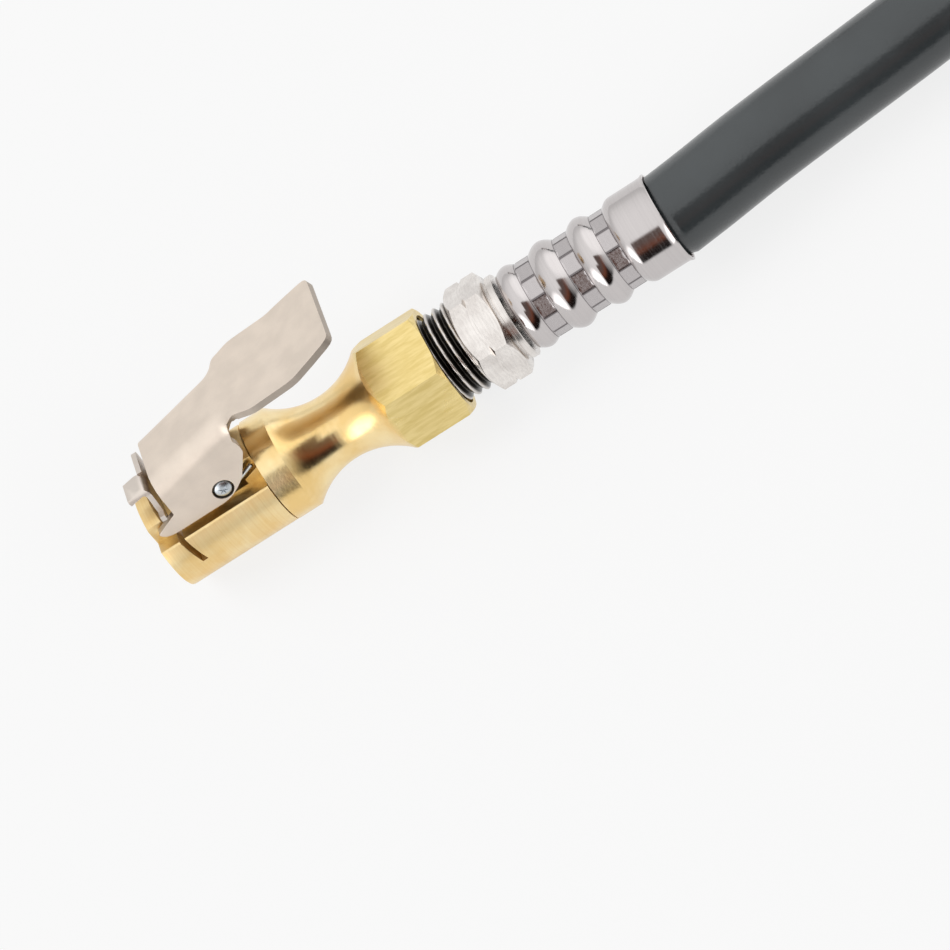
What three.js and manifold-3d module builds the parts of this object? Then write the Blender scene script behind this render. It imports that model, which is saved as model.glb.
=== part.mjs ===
// Clip-on tyre chuck on its hose whip, in millimetres, +Z up.
// The chuck lies on one flat of its hexagon, its axis along X with the stem socket towards -X.
// Inside the chuck's own group x runs back from the barrel's front face, y is across the lever
// and z is away from the axis on the lever's side.
import * as THREE from 'three';
import { mergeVertices } from 'three/addons/utils/BufferGeometryUtils.js';
import Module from 'manifold-3d';

const wasm = await Module();
wasm.setup();

// ---------------------------------------------------------------- driving dimensions
const gap = 0.3;                    // clearance between neighbouring pieces
const roundSides = 24;              // facets of a small turned piece
const wideSides = 32;               // facets of the chuck body and barrel

// chuck body
const bodyHexFlats = 15.875;        // 5/8 in spanner
const bodyHexLength = 10.1;
const bodyHexChamfer = 0.7;
const bodyLength = 29.2;
const barRelief = 0.02;             // what turning takes off the bar, under its flats
const waistRadius = 5.05;
const waistArcRadius = 11.4;
const waistCentre = 11.2;           // from the flange's front face to the thinnest place
const airwayRadius = 3.2;

// chuck barrel
const barrelStep = 0.05;            // the barrel's radius is this much under the flange's
const barrelLength = 17.8;
const barrelChamfer = 0.3;
const partingLine = 0.2;            // gap between the barrel's shoulder and the flange
const stemBoreRadius = 4.2;         // takes a tyre valve stem of 7.7 to 8.0 mm
const stemBoreDepth = 9.8;
const stemBoreMouth = 0.5;          // lead-in chamfer of the stem bore
const webThickness = 2.6;
const webHoleRadius = 1.6;
const chamberRadius = 3.3;
const spigotRadius = 5.4;
const spigotLength = 6.0;
const ledgeHeight = 3.3;            // the flats' floor above the axis

// jaw slot in the barrel
const slotWidth = 1.3;
const slotLean = 12.4;              // degrees, top towards the front
const slotX = 3.45;                 // its middle, at the height of the ledge
const slotDepthBelowAxis = 1.2;
const seatClearance = 0.2;          // close clearance inside the valve and at the lever's sides

// jaw plate
const bladeThickness = 0.75;
const jawTop = 12.4;
const jawBendHeight = 4.6;
const jawUpperLean = 3;             // degrees, top towards the lever
const jawNotchRadius = 3.6;
const jawFootHeight = -0.7;
const jawLugHeight = 0.9;
const jawTabWidth = 4.1;
const jawTabReach = 2.6;
const jawTabDrop = 0.5;             // how much lower the tab is at its end

// thumb lever
const sheet = 1.15;                 // thickness of the lever's sheet
const leverHalfWidth = 6.15;
const leverBend = 2.9;              // outside radius where an ear meets the plate
const plateFrontX = 4.95;
const plateFrontHeight = 13.3;
const plateSlope = 0.25;
const paddleStartX = 19.0;
const paddleSlope = 0.05;
const paddleBreakX = 30.0;
const paddleTipSlope = 0.29;
const paddleEndX = 37.8;
const paddleHalfWidth = 7.9;
const earBottom = 4.2;
const noseTipX = 1.25;
const noseTipHeight = 5.55;
const noseRootHeight = 7.2;
const earRearX = 18.2;
const neckHalfWidth = 6.3;          // at the notch between the ears and the paddle
const tailHalfWidth = 6.4;          // at the paddle's very end
const pivotX = 12.5;
const pivotHeight = 6.3;

// pivot pin and lever spring
const pinShankRadius = 0.95;
const pinHeadRadius = 1.3;
const springWire = 0.7;
const springCoilRadius = 2.0;
const springPitch = 1.14;
const springTurns = 2;              // whole turns of each of the two coils
const springFootInset = 0.4;        // from the barrel's rear face to the ends of the wire
const springFootHeight = 6.05;
const bridgeAngle = 55;             // degrees, slope of the two upper legs

// check valve
const faceSealLength = 1.8;
const faceSealHole = 1.7;
const tipProud = 0.8;               // the depressor's tip stands this far before the seal
const tipRadius = 0.75;
const poppetSealLength = 0.9;
const poppetHeadLength = 1.1;
const guideLength = 4.1;
const guideStep = 0.15;             // the guide's radius over the tip's
const valveSpringWire = 0.44;
const valveSpringTurns = 5;
const retainerLength = 1.2;
const retainerRecess = 1.05;        // from the barrel's inner end to the retainer
const retainerHole = 1.3;
const washerThickness = 0.6;

// hose fitting, the same at both ends: male pipe thread, hexagon, shoulder, barbed tail
const fittingHexFlats = 14.29;      // 9/16 in spanner
const fittingHexLength = 5.8;
const fittingHexChamfer = 0.9;
const threadCrest = 6.85;           // 1/4 in taper pipe thread
const threadRoot = 6.15;
const threadPitch = 1.411;
const threadLength = 13.0;
const threadTaper = 0.03;           // what each crest towards the open end loses
const threadShown = 4.4;            // left outside the chuck body
const neckRadius = 5.9;
const shoulderRadius = 6.55;
const shoulderLength = 1.0;
const shoulderGroove = 0.5;
const tailLength = 19.0;
const barbHeight = 0.35;
const barbPitch = 4.5;
const barbStart = 3.5;              // from the shoulder to the first barb
const fittingBore = 1.6;

// crimped ferrule
const ferruleLength = 24.8;
const ferruleWall = 0.5;
const bulgeRadii = [6.5, 6.85, 6.85];
const bandSides = 12;               // jaws of the crimping tool
const bandFlats = 11.5;             // across two opposite flats of a crimp band
const bandWidth = 1.3;
const bandPlaces = [4.3, 10.6, 16.6];
const bandDepth = 0.25;             // how far the round part of a band lies under its flats
const skirtClearance = 0.4;         // round the hose, inside the skirt
const skirtStart = 18.4;
const lipFlare = 0.2;
const lipLength = 0.9;

// hose
const hoseRadius = 6.35;
const hoseBore = 3.175;
const hoseSides = 12;
const hoseSteps = 28;

// how the chuck lies
const leverLean = 29;               // degrees from upright, towards +Y
const axisHeight = bodyHexFlats / 2;

// ---------------------------------------------------------------- sizes that follow from those
const flangeRadius = axisHeight - barRelief;
const barrelRadius = flangeRadius - barrelStep;
const earInner = leverHalfWidth - sheet;
const landHalfWidth = earInner - gap;
const jawHalfWidth = earInner - gap;
const jawLugReach = leverHalfWidth - gap / 2 - jawHalfWidth;
const springLegSide = landHalfWidth - springWire / 2;
const springFootX = barrelLength - springFootInset;
const barbRadius = hoseBore - gap;
const tailRadius = barbRadius - barbHeight;
const ferruleInner = bandFlats / 2 - ferruleWall;
const crimpedHoseRadius = ferruleInner - 2 * gap;
const skirtRadius = hoseRadius + skirtClearance;
const lipRadius = skirtRadius + lipFlare;

// ---------------------------------------------------------------- places along the chuck's axis
const flangeFront = barrelLength + partingLine;
const waistX = flangeFront + waistCentre;
const bodyEnd = flangeFront + bodyLength;
const spigotEnd = barrelLength + spigotLength;
const fittingHexStart = bodyEnd + threadShown;
const shoulderX = fittingHexStart + fittingHexLength + shoulderGroove;
const ferruleFront = shoulderX + shoulderLength + shoulderGroove;
const ferruleMouth = ferruleFront + ferruleLength;
const originX = bodyEnd - 0.485 * bodyHexLength;      // middle of the flat that it lies on

// The hose's middle line after the ferrule's mouth, chosen by hand on the surface it lies on,
// from the origin under the chuck body.
const hoseRoute = [
  [48, 0.7, 7.75], [56, 1.8, 7.4], [66, 2.9, 6.95], [76, 3.85, 6.6], [86, 4.8, 6.45],
  [96, 6.0, 6.45], [111, 9.2, 6.45], [127, 15.5, 6.45], [141, 27.4, 6.45], [151, 42.7, 6.45],
  [157, 60, 6.45], [158, 78.4, 6.45], [154, 96, 6.45], [146.4, 112.4, 6.5], [135, 126.6, 6.6],
  [120.6, 137.7, 6.85], [112, 142.2, 7.05], [104, 145.3, 7.145], [97.4, 147.2, 7.145],
];

// ---------------------------------------------------------------- materials
const finish = (color, roughness, metalness) => {
  return new THREE.MeshStandardMaterial({ color, roughness, metalness });
};
const brass = finish('#d9b567', 0.3, 1);
const nickel = finish('#cfc4b8', 0.4, 1);
const zinc = finish('#c8cfd4', 0.35, 1);
const plate = finish('#dcd8d6', 0.25, 1);
const chrome = finish('#d8d8da', 0.12, 1);
const rubber = finish('#2f3434', 0.5, 0);
const sealRubber = finish('#1c1c1c', 0.7, 0);
const springSteel = finish('#b9bcc0', 0.3, 1);

// ---------------------------------------------------------------- helpers
const degrees = THREE.MathUtils.degToRad;
const vector = (x, y, z) => new THREE.Vector3(x, y, z);

// A closed geometry as a solid: shared corners merged, empty faces dropped, faces turned outwards.
function solid(geometry) {
  const bare = new THREE.BufferGeometry();
  bare.setAttribute('position', geometry.getAttribute('position').clone());
  if (geometry.index) bare.setIndex(geometry.index.clone());
  const merged = mergeVertices(bare, 1e-4);
  const points = merged.getAttribute('position');
  const index = merged.index.array;
  const faces = [];
  let volume = 0;
  const a = vector(), b = vector(), c = vector();
  for (let i = 0; i < index.length; i += 3) {
    const [p, q, r] = [index[i], index[i + 1], index[i + 2]];
    if (p === q || q === r || r === p) continue;
    faces.push([p, q, r]);
    a.fromBufferAttribute(points, p);
    b.fromBufferAttribute(points, q);
    c.fromBufferAttribute(points, r);
    volume += a.dot(b.cross(c));
  }
  const outward = faces.map(([p, q, r]) => (volume > 0 ? [p, q, r] : [r, q, p]));
  const triVerts = new Uint32Array(outward.flat());
  const vertProperties = new Float32Array(points.array);
  return new wasm.Manifold(new wasm.Mesh({ numProp: 3, vertProperties, triVerts }));
}

const join = (first, ...rest) => rest.reduce((whole, piece) => whole.add(piece), first);
const cut = (first, ...rest) => rest.reduce((whole, piece) => whole.subtract(piece), first);

function geometryOf(manifold) {
  const data = manifold.getMesh();
  const geometry = new THREE.BufferGeometry();
  geometry.setAttribute('position', new THREE.BufferAttribute(data.vertProperties, 3));
  geometry.setIndex(new THREE.BufferAttribute(data.triVerts, 1));
  const flat = geometry.toNonIndexed();
  flat.computeVertexNormals();
  return flat;
}

function piece(parent, name, shape, material) {
  const mesh = new THREE.Mesh(geometryOf(shape), material);
  mesh.name = name;
  parent.add(mesh);
  return mesh;
}

// A solid of revolution about X. The profile lists [x, radius] round a closed outline.
function turned(profile, sides = roundSides) {
  const closed = profile.map(([x, radius]) => new THREE.Vector2(radius, x));
  const onAxis = profile[0][1] === 0 && profile.at(-1)[1] === 0;
  if (!onAxis) closed.push(closed[0].clone());
  return solid(new THREE.LatheGeometry(closed, sides).rotateZ(-Math.PI / 2));
}

const rod = (x0, x1, radius, sides) => turned([[x0, 0], [x0, radius], [x1, radius], [x1, 0]], sides);
const ring = (x0, x1, inner, outer) => turned([[x0, inner], [x0, outer], [x1, outer], [x1, inner]]);

function box(x0, x1, y0, y1, z0, z1) {
  const geometry = new THREE.BoxGeometry(x1 - x0, y1 - y0, z1 - z0);
  return solid(geometry.translate((x0 + x1) / 2, (y0 + y1) / 2, (z0 + z1) / 2));
}

// An outline in the x-z plane, extruded across the lever from y0 to y1.
function across(outline, y0, y1) {
  const isShape = outline instanceof THREE.Shape;
  const shape = isShape ? outline : new THREE.Shape(outline.map(([x, z]) => new THREE.Vector2(x, z)));
  const options = { depth: y1 - y0, bevelEnabled: false, curveSegments: 5 };
  const geometry = new THREE.ExtrudeGeometry(shape, options);
  return solid(geometry.rotateX(Math.PI / 2).translate(0, y1, 0));
}

// An outline in the x-y plane, extruded up from z0 to z1.
function upwards(shape, z0, z1) {
  const options = { depth: z1 - z0, bevelEnabled: false, curveSegments: 4 };
  return solid(new THREE.ExtrudeGeometry(shape, options).translate(0, 0, z0));
}

// A prism along X with flats that face up and down.
function prism(x0, x1, acrossFlats, sides) {
  const radius = acrossFlats / 2 / Math.cos(Math.PI / sides);
  const geometry = new THREE.CylinderGeometry(radius, radius, x1 - x0, sides);
  geometry.rotateZ(Math.PI / 2).rotateX(Math.PI / sides).translate((x0 + x1) / 2, 0, 0);
  return solid(geometry);
}

const pinAcross = (x, z, y0, y1, radius) => {
  const geometry = new THREE.CylinderGeometry(radius, radius, y1 - y0, 20);
  return solid(geometry.translate(x, (y0 + y1) / 2, z));
};

// A wire along a line of points, as one tube with flat ends.
function wire(points, diameter, steps, sides) {
  const curve = new THREE.CatmullRomCurve3(points, false, 'centripetal');
  const section = new THREE.Shape();
  for (let i = 0; i < sides; i += 1) {
    const turn = (2 * Math.PI * i) / sides;
    const [x, y] = [(diameter / 2) * Math.cos(turn), (diameter / 2) * Math.sin(turn)];
    if (i === 0) section.moveTo(x, y);
    else section.lineTo(x, y);
  }
  section.closePath();
  return solid(new THREE.ExtrudeGeometry(section, { steps, extrudePath: curve, bevelEnabled: false }));
}

// The least gap of a wire to itself, between places more than one diameter apart along it.
function selfGap(points, diameter) {
  const curve = new THREE.CatmullRomCurve3(points, false, 'centripetal');
  const samples = curve.getSpacedPoints(600);
  const step = curve.getLength() / 600;
  const apart = Math.ceil((3 * diameter) / step);
  let least = Infinity;
  samples.forEach((here, i) => {
    samples.slice(i + apart).forEach((there) => {
      least = Math.min(least, here.distanceTo(there));
    });
  });
  return least - diameter;
}

// ---------------------------------------------------------------- chuck body
function chuckBody() {
  const cornerRadius = bodyHexFlats / 2 / Math.cos(Math.PI / 6);
  const arcMiddle = waistRadius + waistArcRadius;
  const reach = (radius) => Math.sqrt(waistArcRadius ** 2 - (arcMiddle - radius) ** 2);
  const [x0, x1] = [waistX - reach(flangeRadius), waistX + reach(cornerRadius)];
  const profile = [[flangeFront, spigotRadius + gap], [flangeFront, flangeRadius], [x0, flangeRadius]];
  const arcSteps = 14;
  for (let i = 1; i < arcSteps; i += 1) {
    const x = x0 + ((x1 - x0) * i) / arcSteps;
    profile.push([x, arcMiddle - Math.sqrt(waistArcRadius ** 2 - (x - waistX) ** 2)]);
  }
  profile.push([x1, cornerRadius], [bodyEnd - bodyHexChamfer, cornerRadius]);
  profile.push([bodyEnd, cornerRadius - 1.6 * bodyHexChamfer]);
  const threadMouth = threadCrest + gap;
  const threadFloor = fittingHexStart - threadLength - gap;
  const spigotFloor = spigotEnd + 2 * partingLine + washerThickness + gap / 2;
  const threadFoot = threadMouth - threadTaper * (threadLength / threadPitch);
  profile.push([bodyEnd, threadMouth], [threadFloor, threadFoot], [threadFloor, airwayRadius]);
  profile.push([spigotFloor, airwayRadius], [spigotFloor, spigotRadius + gap]);
  const roundPart = rod(flangeFront - 1, waistX, 2 * flangeRadius);
  const hexPart = prism(waistX - 1, bodyEnd + 1, bodyHexFlats, 6);
  const hexTurn = join(roundPart, hexPart).rotate([leverLean, 0, 0]);
  return turned(profile, wideSides).intersect(hexTurn);
}

// ---------------------------------------------------------------- barrel
// The lines that the slot and the jaw plate follow, seen from the side.
const slotLineX = (height) => slotX - (height - ledgeHeight) * Math.tan(degrees(slotLean));
const jawLineX = (height) => {
  if (height <= jawBendHeight) return slotLineX(height);
  return slotLineX(jawBendHeight) + (height - jawBendHeight) * Math.tan(degrees(jawUpperLean));
};

function barrel() {
  const webFront = stemBoreDepth;
  const webRear = webFront + webThickness;
  const profile = [
    [stemBoreMouth, stemBoreRadius], [0, stemBoreRadius + stemBoreMouth],
    [0, barrelRadius - barrelChamfer], [barrelChamfer, barrelRadius],
    [barrelLength, barrelRadius], [barrelLength, spigotRadius], [spigotEnd, spigotRadius],
    [spigotEnd, chamberRadius], [webRear, chamberRadius], [webRear, webHoleRadius],
    [webFront, webHoleRadius], [webFront, stemBoreRadius],
  ];
  const far = 2 * barrelRadius;
  const flats = [-1, 1].map((side) => {
    const [a, b] = [side * landHalfWidth, side * far].sort((p, q) => p - q);
    return box(-1, barrelLength + 0.01, a, b, ledgeHeight, far);
  });
  const [low, high] = [-slotDepthBelowAxis, far];
  const half = slotWidth / 2 / Math.cos(degrees(slotLean));
  const slot = across([
    [slotLineX(low) - half, low], [slotLineX(low) + half, low],
    [slotLineX(high) + half, high], [slotLineX(high) - half, high],
  ], -far, far);
  // Above the jaw's bend the slot opens towards the rear, where the jaw stands upright.
  const uprightRear = jawLineX(barrelRadius) + bladeThickness / 2 + gap;
  const insideSlot = (slotLineX(barrelRadius) + slotLineX(jawBendHeight)) / 2;
  const opening = box(insideSlot, uprightRear, -far, far, jawBendHeight - 2 * gap, far);
  const pinHole = pinAcross(pivotX, pivotHeight, -far, far, pinShankRadius + gap);
  return cut(turned(profile, wideSides), ...flats, slot, opening, pinHole, ...springPockets());
}

// Two pockets in the barrel's land hold the lever spring's coils, two sloping shelves its lower legs.
function springPockets() {
  const coilReach = springCoilRadius + springWire / 2 + gap;
  const innermost = springLegSide - coilTravel - springWire / 2 - gap;
  const legSide = springLegSide - springWire / 2 - gap;
  const room = springWire / 2 + gap + partingLine / 2;
  const shelfHeight = (x) => springFootHeight - (springFootX - x) * Math.tan(degrees(legAngle)) - room;
  const shelfEnd = barrelLength + 0.01;
  const shelf = [
    [pivotX, shelfHeight(pivotX)], [shelfEnd, shelfHeight(shelfEnd)],
    [shelfEnd, 2 * barrelRadius], [pivotX, 2 * barrelRadius],
  ];
  return [-1, 1].flatMap((side) => {
    const [a, b] = [side * innermost, side * 2 * landHalfWidth].sort((p, q) => p - q);
    const [c, d] = [side * legSide, side * 2 * landHalfWidth].sort((p, q) => p - q);
    const floor = pivotHeight - coilReach;
    return [
      box(pivotX - coilReach, pivotX + coilReach + gap, a, b, floor, 2 * barrelRadius),
      across(shelf, c, d),
    ];
  });
}

// ---------------------------------------------------------------- thumb lever
function plateHeight(x) {
  const atPaddle = plateFrontHeight + plateSlope * (paddleStartX - plateFrontX);
  const atBreak = atPaddle + paddleSlope * (paddleBreakX - paddleStartX);
  if (x <= paddleStartX) return plateFrontHeight + plateSlope * (x - plateFrontX);
  if (x <= paddleBreakX) return atPaddle + paddleSlope * (x - paddleStartX);
  return atBreak + paddleTipSlope * (x - paddleBreakX);
}

// The ears and the plate between them: a channel of bent sheet, along the plate's slope.
function leverChannel() {
  const depth = 14;
  const inner = earInner;
  const innerBend = leverBend - sheet;
  const section = new THREE.Shape();
  section.moveTo(-leverHalfWidth, -depth);
  section.lineTo(-leverHalfWidth, -leverBend);
  section.absarc(-leverHalfWidth + leverBend, -leverBend, leverBend, Math.PI, Math.PI / 2, true);
  section.lineTo(leverHalfWidth - leverBend, 0);
  section.absarc(leverHalfWidth - leverBend, -leverBend, leverBend, Math.PI / 2, 0, true);
  section.lineTo(leverHalfWidth, -depth);
  section.lineTo(inner, -depth);
  section.lineTo(inner, -sheet - innerBend);
  section.absarc(inner - innerBend, -sheet - innerBend, innerBend, 0, Math.PI / 2, false);
  section.lineTo(-inner + innerBend, -sheet);
  section.absarc(-inner + innerBend, -sheet - innerBend, innerBend, Math.PI / 2, Math.PI, false);
  section.lineTo(-inner, -depth);
  section.closePath();
  const angle = Math.atan(plateSlope);
  const geometry = new THREE.ExtrudeGeometry(section, { depth: 40, bevelEnabled: false, curveSegments: 4 });
  const along = vector(Math.cos(angle), 0, Math.sin(angle));
  const up = vector(-Math.sin(angle), 0, Math.cos(angle));
  geometry.applyMatrix4(new THREE.Matrix4().makeBasis(vector(0, 1, 0), up, along));
  geometry.translate(plateFrontX - 10 * along.x, 0, plateFrontHeight - 10 * along.z);
  return solid(geometry);
}

// The ear's outline seen from the side, with the nose that lifts the jaw. Its corners are
// measured from the nose's tip, from the pivot and from the ear's rear edge.
function earOutline() {
  const above = plateHeight(paddleEndX) + 1;
  const notchTop = plateHeight(earRearX) + 0.3;
  const outline = new THREE.Shape();
  outline.moveTo(plateFrontX, above);
  outline.lineTo(plateFrontX - 0.15, noseRootHeight);
  outline.lineTo(noseTipX + 0.25, noseTipHeight + 0.1);
  outline.quadraticCurveTo(noseTipX - 0.2, noseTipHeight - 0.3, noseTipX + 0.8, earBottom + 0.35);
  outline.quadraticCurveTo(noseTipX + 1.6, earBottom, noseTipX + 2.8, earBottom);
  outline.lineTo(pivotX - 1.1, earBottom);
  outline.quadraticCurveTo(pivotX + 1, earBottom + 0.1, pivotX + 3.3, earBottom + 2.3);
  outline.lineTo(earRearX - 0.1, pivotHeight + 3.7);
  outline.quadraticCurveTo(earRearX + 0.2, pivotHeight + 5, earRearX - 0.3, pivotHeight + 6.2);
  outline.quadraticCurveTo(earRearX, notchTop - 1.4, earRearX + 1.4, notchTop);
  outline.lineTo(earRearX + 1.4, above);
  outline.closePath();
  return outline;
}

// The flat paddle, sloping away from the ears, and its plan between the notches and the tail.
function paddle() {
  const lap = 5;                    // how far it runs under the channel
  const slopes = [paddleStartX - lap, paddleStartX, paddleBreakX, paddleEndX];
  const top = slopes.map((x) => [x, plateHeight(x)]);
  const bottom = slopes.map((x) => [x, plateHeight(x) - sheet * 1.03]).reverse();
  const rim = [
    [paddleStartX - lap, neckHalfWidth - 1.7], [paddleStartX - 0.9, neckHalfWidth - 0.5],
    [paddleStartX + 1, neckHalfWidth], [paddleStartX + 3.6, paddleHalfWidth - 0.3],
    [paddleStartX + 5, paddleHalfWidth], [paddleBreakX + 1, paddleHalfWidth],
    [paddleEndX - 1.4, tailHalfWidth + 0.9], [paddleEndX - 0.4, tailHalfWidth + 0.6],
    [paddleEndX, tailHalfWidth],
  ];
  const outline = [...rim, ...rim.map(([x, y]) => [x, -y]).reverse()];
  const plan = new THREE.Shape(outline.map(([x, y]) => new THREE.Vector2(x, y)));
  const beyond = paddleHalfWidth + 1;
  return across([...top, ...bottom], -beyond, beyond).intersect(upwards(plan, 0, 40));
}

function thumbLever() {
  const beyond = leverHalfWidth + 1;
  const ears = leverChannel().intersect(across(earOutline(), -beyond, beyond));
  const hole = pinAcross(pivotX, pivotHeight, -beyond, beyond, pinHeadRadius + gap);
  return cut(join(ears, paddle()), hole);
}

// ---------------------------------------------------------------- jaw plate
// The height of the nose's top edge, on which the jaw's two side lugs stand.
const noseSlope = (noseRootHeight - noseTipHeight) / (plateFrontX - noseTipX);
const noseHeight = (x) => noseTipHeight + noseSlope * (x - noseTipX);

function jawPlate() {
  const half = bladeThickness / 2;
  const topX = jawLineX(jawTop);
  const bendX = jawLineX(jawBendHeight);
  const footX = jawLineX(jawFootHeight);
  const tabEnd = topX - half - jawTabReach;
  const tabBottom = jawTop - jawTabDrop - bladeThickness;
  const profile = [
    [footX - half, jawFootHeight], [footX + half, jawFootHeight], [bendX + half, jawBendHeight],
    [topX + half, jawTop], [topX - half, jawTop], [tabEnd, jawTop - jawTabDrop],
    [tabEnd, tabBottom], [topX - half, jawTop - bladeThickness], [bendX - half, jawBendHeight],
  ];
  const wide = jawHalfWidth + jawLugReach;
  const [front, rear] = [tabEnd - 4, topX + 4];
  const bent = across(profile, -wide, wide);
  const tabX = topX - half - 0.05;
  const tabSide = -jawHalfWidth + jawTabWidth;
  const spareTab = box(tabEnd - 1, tabX, tabSide, 2 * wide, tabBottom - 1, jawTop + 1);
  const lugBottom = noseHeight(topX + half) + gap;
  const face = join(
    box(front, rear, -jawHalfWidth, jawHalfWidth, jawFootHeight - 1, jawTop + 1),
    box(front, rear, -wide, wide, lugBottom, lugBottom + jawLugHeight),
  );
  const notch = join(
    rod(front, rear, jawNotchRadius),
    box(front, rear, -jawNotchRadius, jawNotchRadius, jawFootHeight - 2, 0),
  );
  return cut(bent.intersect(face), spareTab, notch);
}

// ---------------------------------------------------------------- pivot pin and lever spring
function pivotPin() {
  const end = leverHalfWidth + partingLine / 2;
  const shoulder = earInner + gap / 2;
  const dimpleDepth = 0.3;
  const dimpleRadius = pinHeadRadius * 0.6;
  const disc = (from, to, radius) => {
    const [a, b] = [from, to].sort((p, q) => p - q);
    return pinAcross(pivotX, pivotHeight, a, b, radius);
  };
  const heads = [-1, 1].map((side) => disc(side * shoulder, side * end, pinHeadRadius));
  const dimples = [-1, 1].map((side) => {
    return disc(side * (end - dimpleDepth), side * (end + 1), dimpleRadius);
  });
  const shank = disc(-shoulder - dimpleDepth, shoulder + dimpleDepth, pinShankRadius);
  return cut(join(shank, ...heads), ...dimples);
}

// The wire's turning angle in a coil, from the lower leg's tangent round the front to the upper's.
const coilBottom = pivotHeight - springCoilRadius;
const legSlope = Math.atan2(springFootHeight - coilBottom, springFootX - pivotX);
const legAngle = THREE.MathUtils.radToDeg(legSlope);
const coilSweep = 360 * springTurns + (270 + legAngle) - (90 + bridgeAngle);
const coilTravel = (springPitch * coilSweep) / 360;

function leverSpringLine() {
  const half = [vector(springFootX, -springLegSide, springFootHeight)];
  const startAngle = 270 + legAngle;
  const steps = Math.round((coilSweep / 360) * 8);
  for (let i = 0; i <= steps; i += 1) {
    const angle = degrees(startAngle - (coilSweep * i) / steps);
    const side = -springLegSide + (coilTravel * i) / steps;
    const [dx, dz] = [springCoilRadius * Math.cos(angle), springCoilRadius * Math.sin(angle)];
    half.push(vector(pivotX + dx, side, pivotHeight + dz));
  }
  const last = half.at(-1);
  const rise = degrees(bridgeAngle);
  const underPlate = plateHeight(pivotX + 2) - sheet - springWire / 2 - gap;
  const length = (underPlate - last.z) / Math.sin(rise);
  [[0.5, 0], [0.93, 0], [1, 0.5]].forEach(([share, inward]) => {
    const [dx, dz] = [length * share * Math.cos(rise), length * share * Math.sin(rise)];
    half.push(vector(last.x + dx, last.y + inward, last.z + dz));
  });
  const otherHalf = half.map((p) => vector(p.x, -p.y, p.z)).reverse();
  return [...half, ...otherHalf];
}

// ---------------------------------------------------------------- check valve
const sealFront = stemBoreDepth - gap - faceSealLength;
const tipX = sealFront - tipProud;
const poppetSealX = stemBoreDepth + webThickness + seatClearance;
const poppetHeadX = poppetSealX + poppetSealLength + gap;
const guideX = poppetHeadX + poppetHeadLength;
const poppetRadius = chamberRadius - gap - seatClearance;
const guideRadius = tipRadius + guideStep;
const valveSpringX = guideX + gap + valveSpringWire / 2;
const retainerX = spigotEnd - retainerRecess - retainerLength;
const valveSpringLength = retainerX - gap - valveSpringWire / 2 - valveSpringX;

function depressorPin() {
  return turned([
    [tipX, 0], [tipX, tipRadius], [poppetHeadX, tipRadius], [poppetHeadX, poppetRadius],
    [guideX, poppetRadius], [guideX, guideRadius], [guideX + guideLength, guideRadius],
    [guideX + guideLength, 0],
  ]);
}

function valveSpringLine() {
  const radius = (poppetRadius + guideRadius) / 2 + seatClearance;
  const points = [];
  const steps = valveSpringTurns * 8;
  for (let i = 0; i <= steps; i += 1) {
    const angle = (2 * Math.PI * i) / 8;
    const x = valveSpringX + (valveSpringLength * i) / steps;
    points.push(vector(x, radius * Math.cos(angle), radius * Math.sin(angle)));
  }
  return points;
}

// ---------------------------------------------------------------- hose fitting and ferrule
// Both lie along +x into the hose. x = 0 is the hexagon's outer face for the fitting
// and the ferrule's closed end for the ferrule.
function hoseFitting() {
  const cornerRadius = fittingHexFlats / 2 / Math.cos(Math.PI / 6);
  const end = -threadLength;
  const lead = 0.4;                 // plain length before the first thread
  const ridges = Math.floor((threadLength - lead) / threadPitch);
  const root = (i) => threadRoot - threadTaper * (ridges - i);
  const profile = [[end, fittingBore], [end, root(0)]];
  for (let i = 0; i < ridges; i += 1) {
    const x = end + lead + i * threadPitch;
    const crest = threadCrest - threadTaper * (ridges - i);
    profile.push([x, root(i)], [x + threadPitch / 2, crest]);
  }
  profile.push([end + lead + ridges * threadPitch, root(ridges)], [0, root(ridges)]);
  const chamferDrop = fittingHexChamfer * 0.6;
  const uncut = cornerRadius + 0.01;
  profile.push([0, cornerRadius - chamferDrop], [fittingHexChamfer, uncut]);
  profile.push([fittingHexLength - fittingHexChamfer, uncut]);
  profile.push([fittingHexLength, cornerRadius - chamferDrop], [fittingHexLength, neckRadius]);
  const shoulder = fittingHexLength + shoulderGroove;
  const shoulderEnd = shoulder + shoulderLength;
  profile.push([shoulder, neckRadius], [shoulder, shoulderRadius]);
  profile.push([shoulderEnd, shoulderRadius], [shoulderEnd, tailRadius]);
  const barbs = Math.floor((tailLength - barbStart) / barbPitch);
  for (let i = 0; i < barbs; i += 1) {
    const x = shoulderEnd + barbStart + i * barbPitch;
    profile.push([x, tailRadius], [x, barbRadius], [x + barbPitch * 0.75, tailRadius]);
  }
  profile.push([shoulderEnd + tailLength, tailRadius], [shoulderEnd + tailLength, fittingBore]);
  // Only the hexagon is wider than its own flats, so one long prism cuts them all.
  const hexagon = prism(end - 1, shoulderEnd + tailLength + 1, fittingHexFlats, 6);
  return turned(profile).intersect(hexagon);
}

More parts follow.
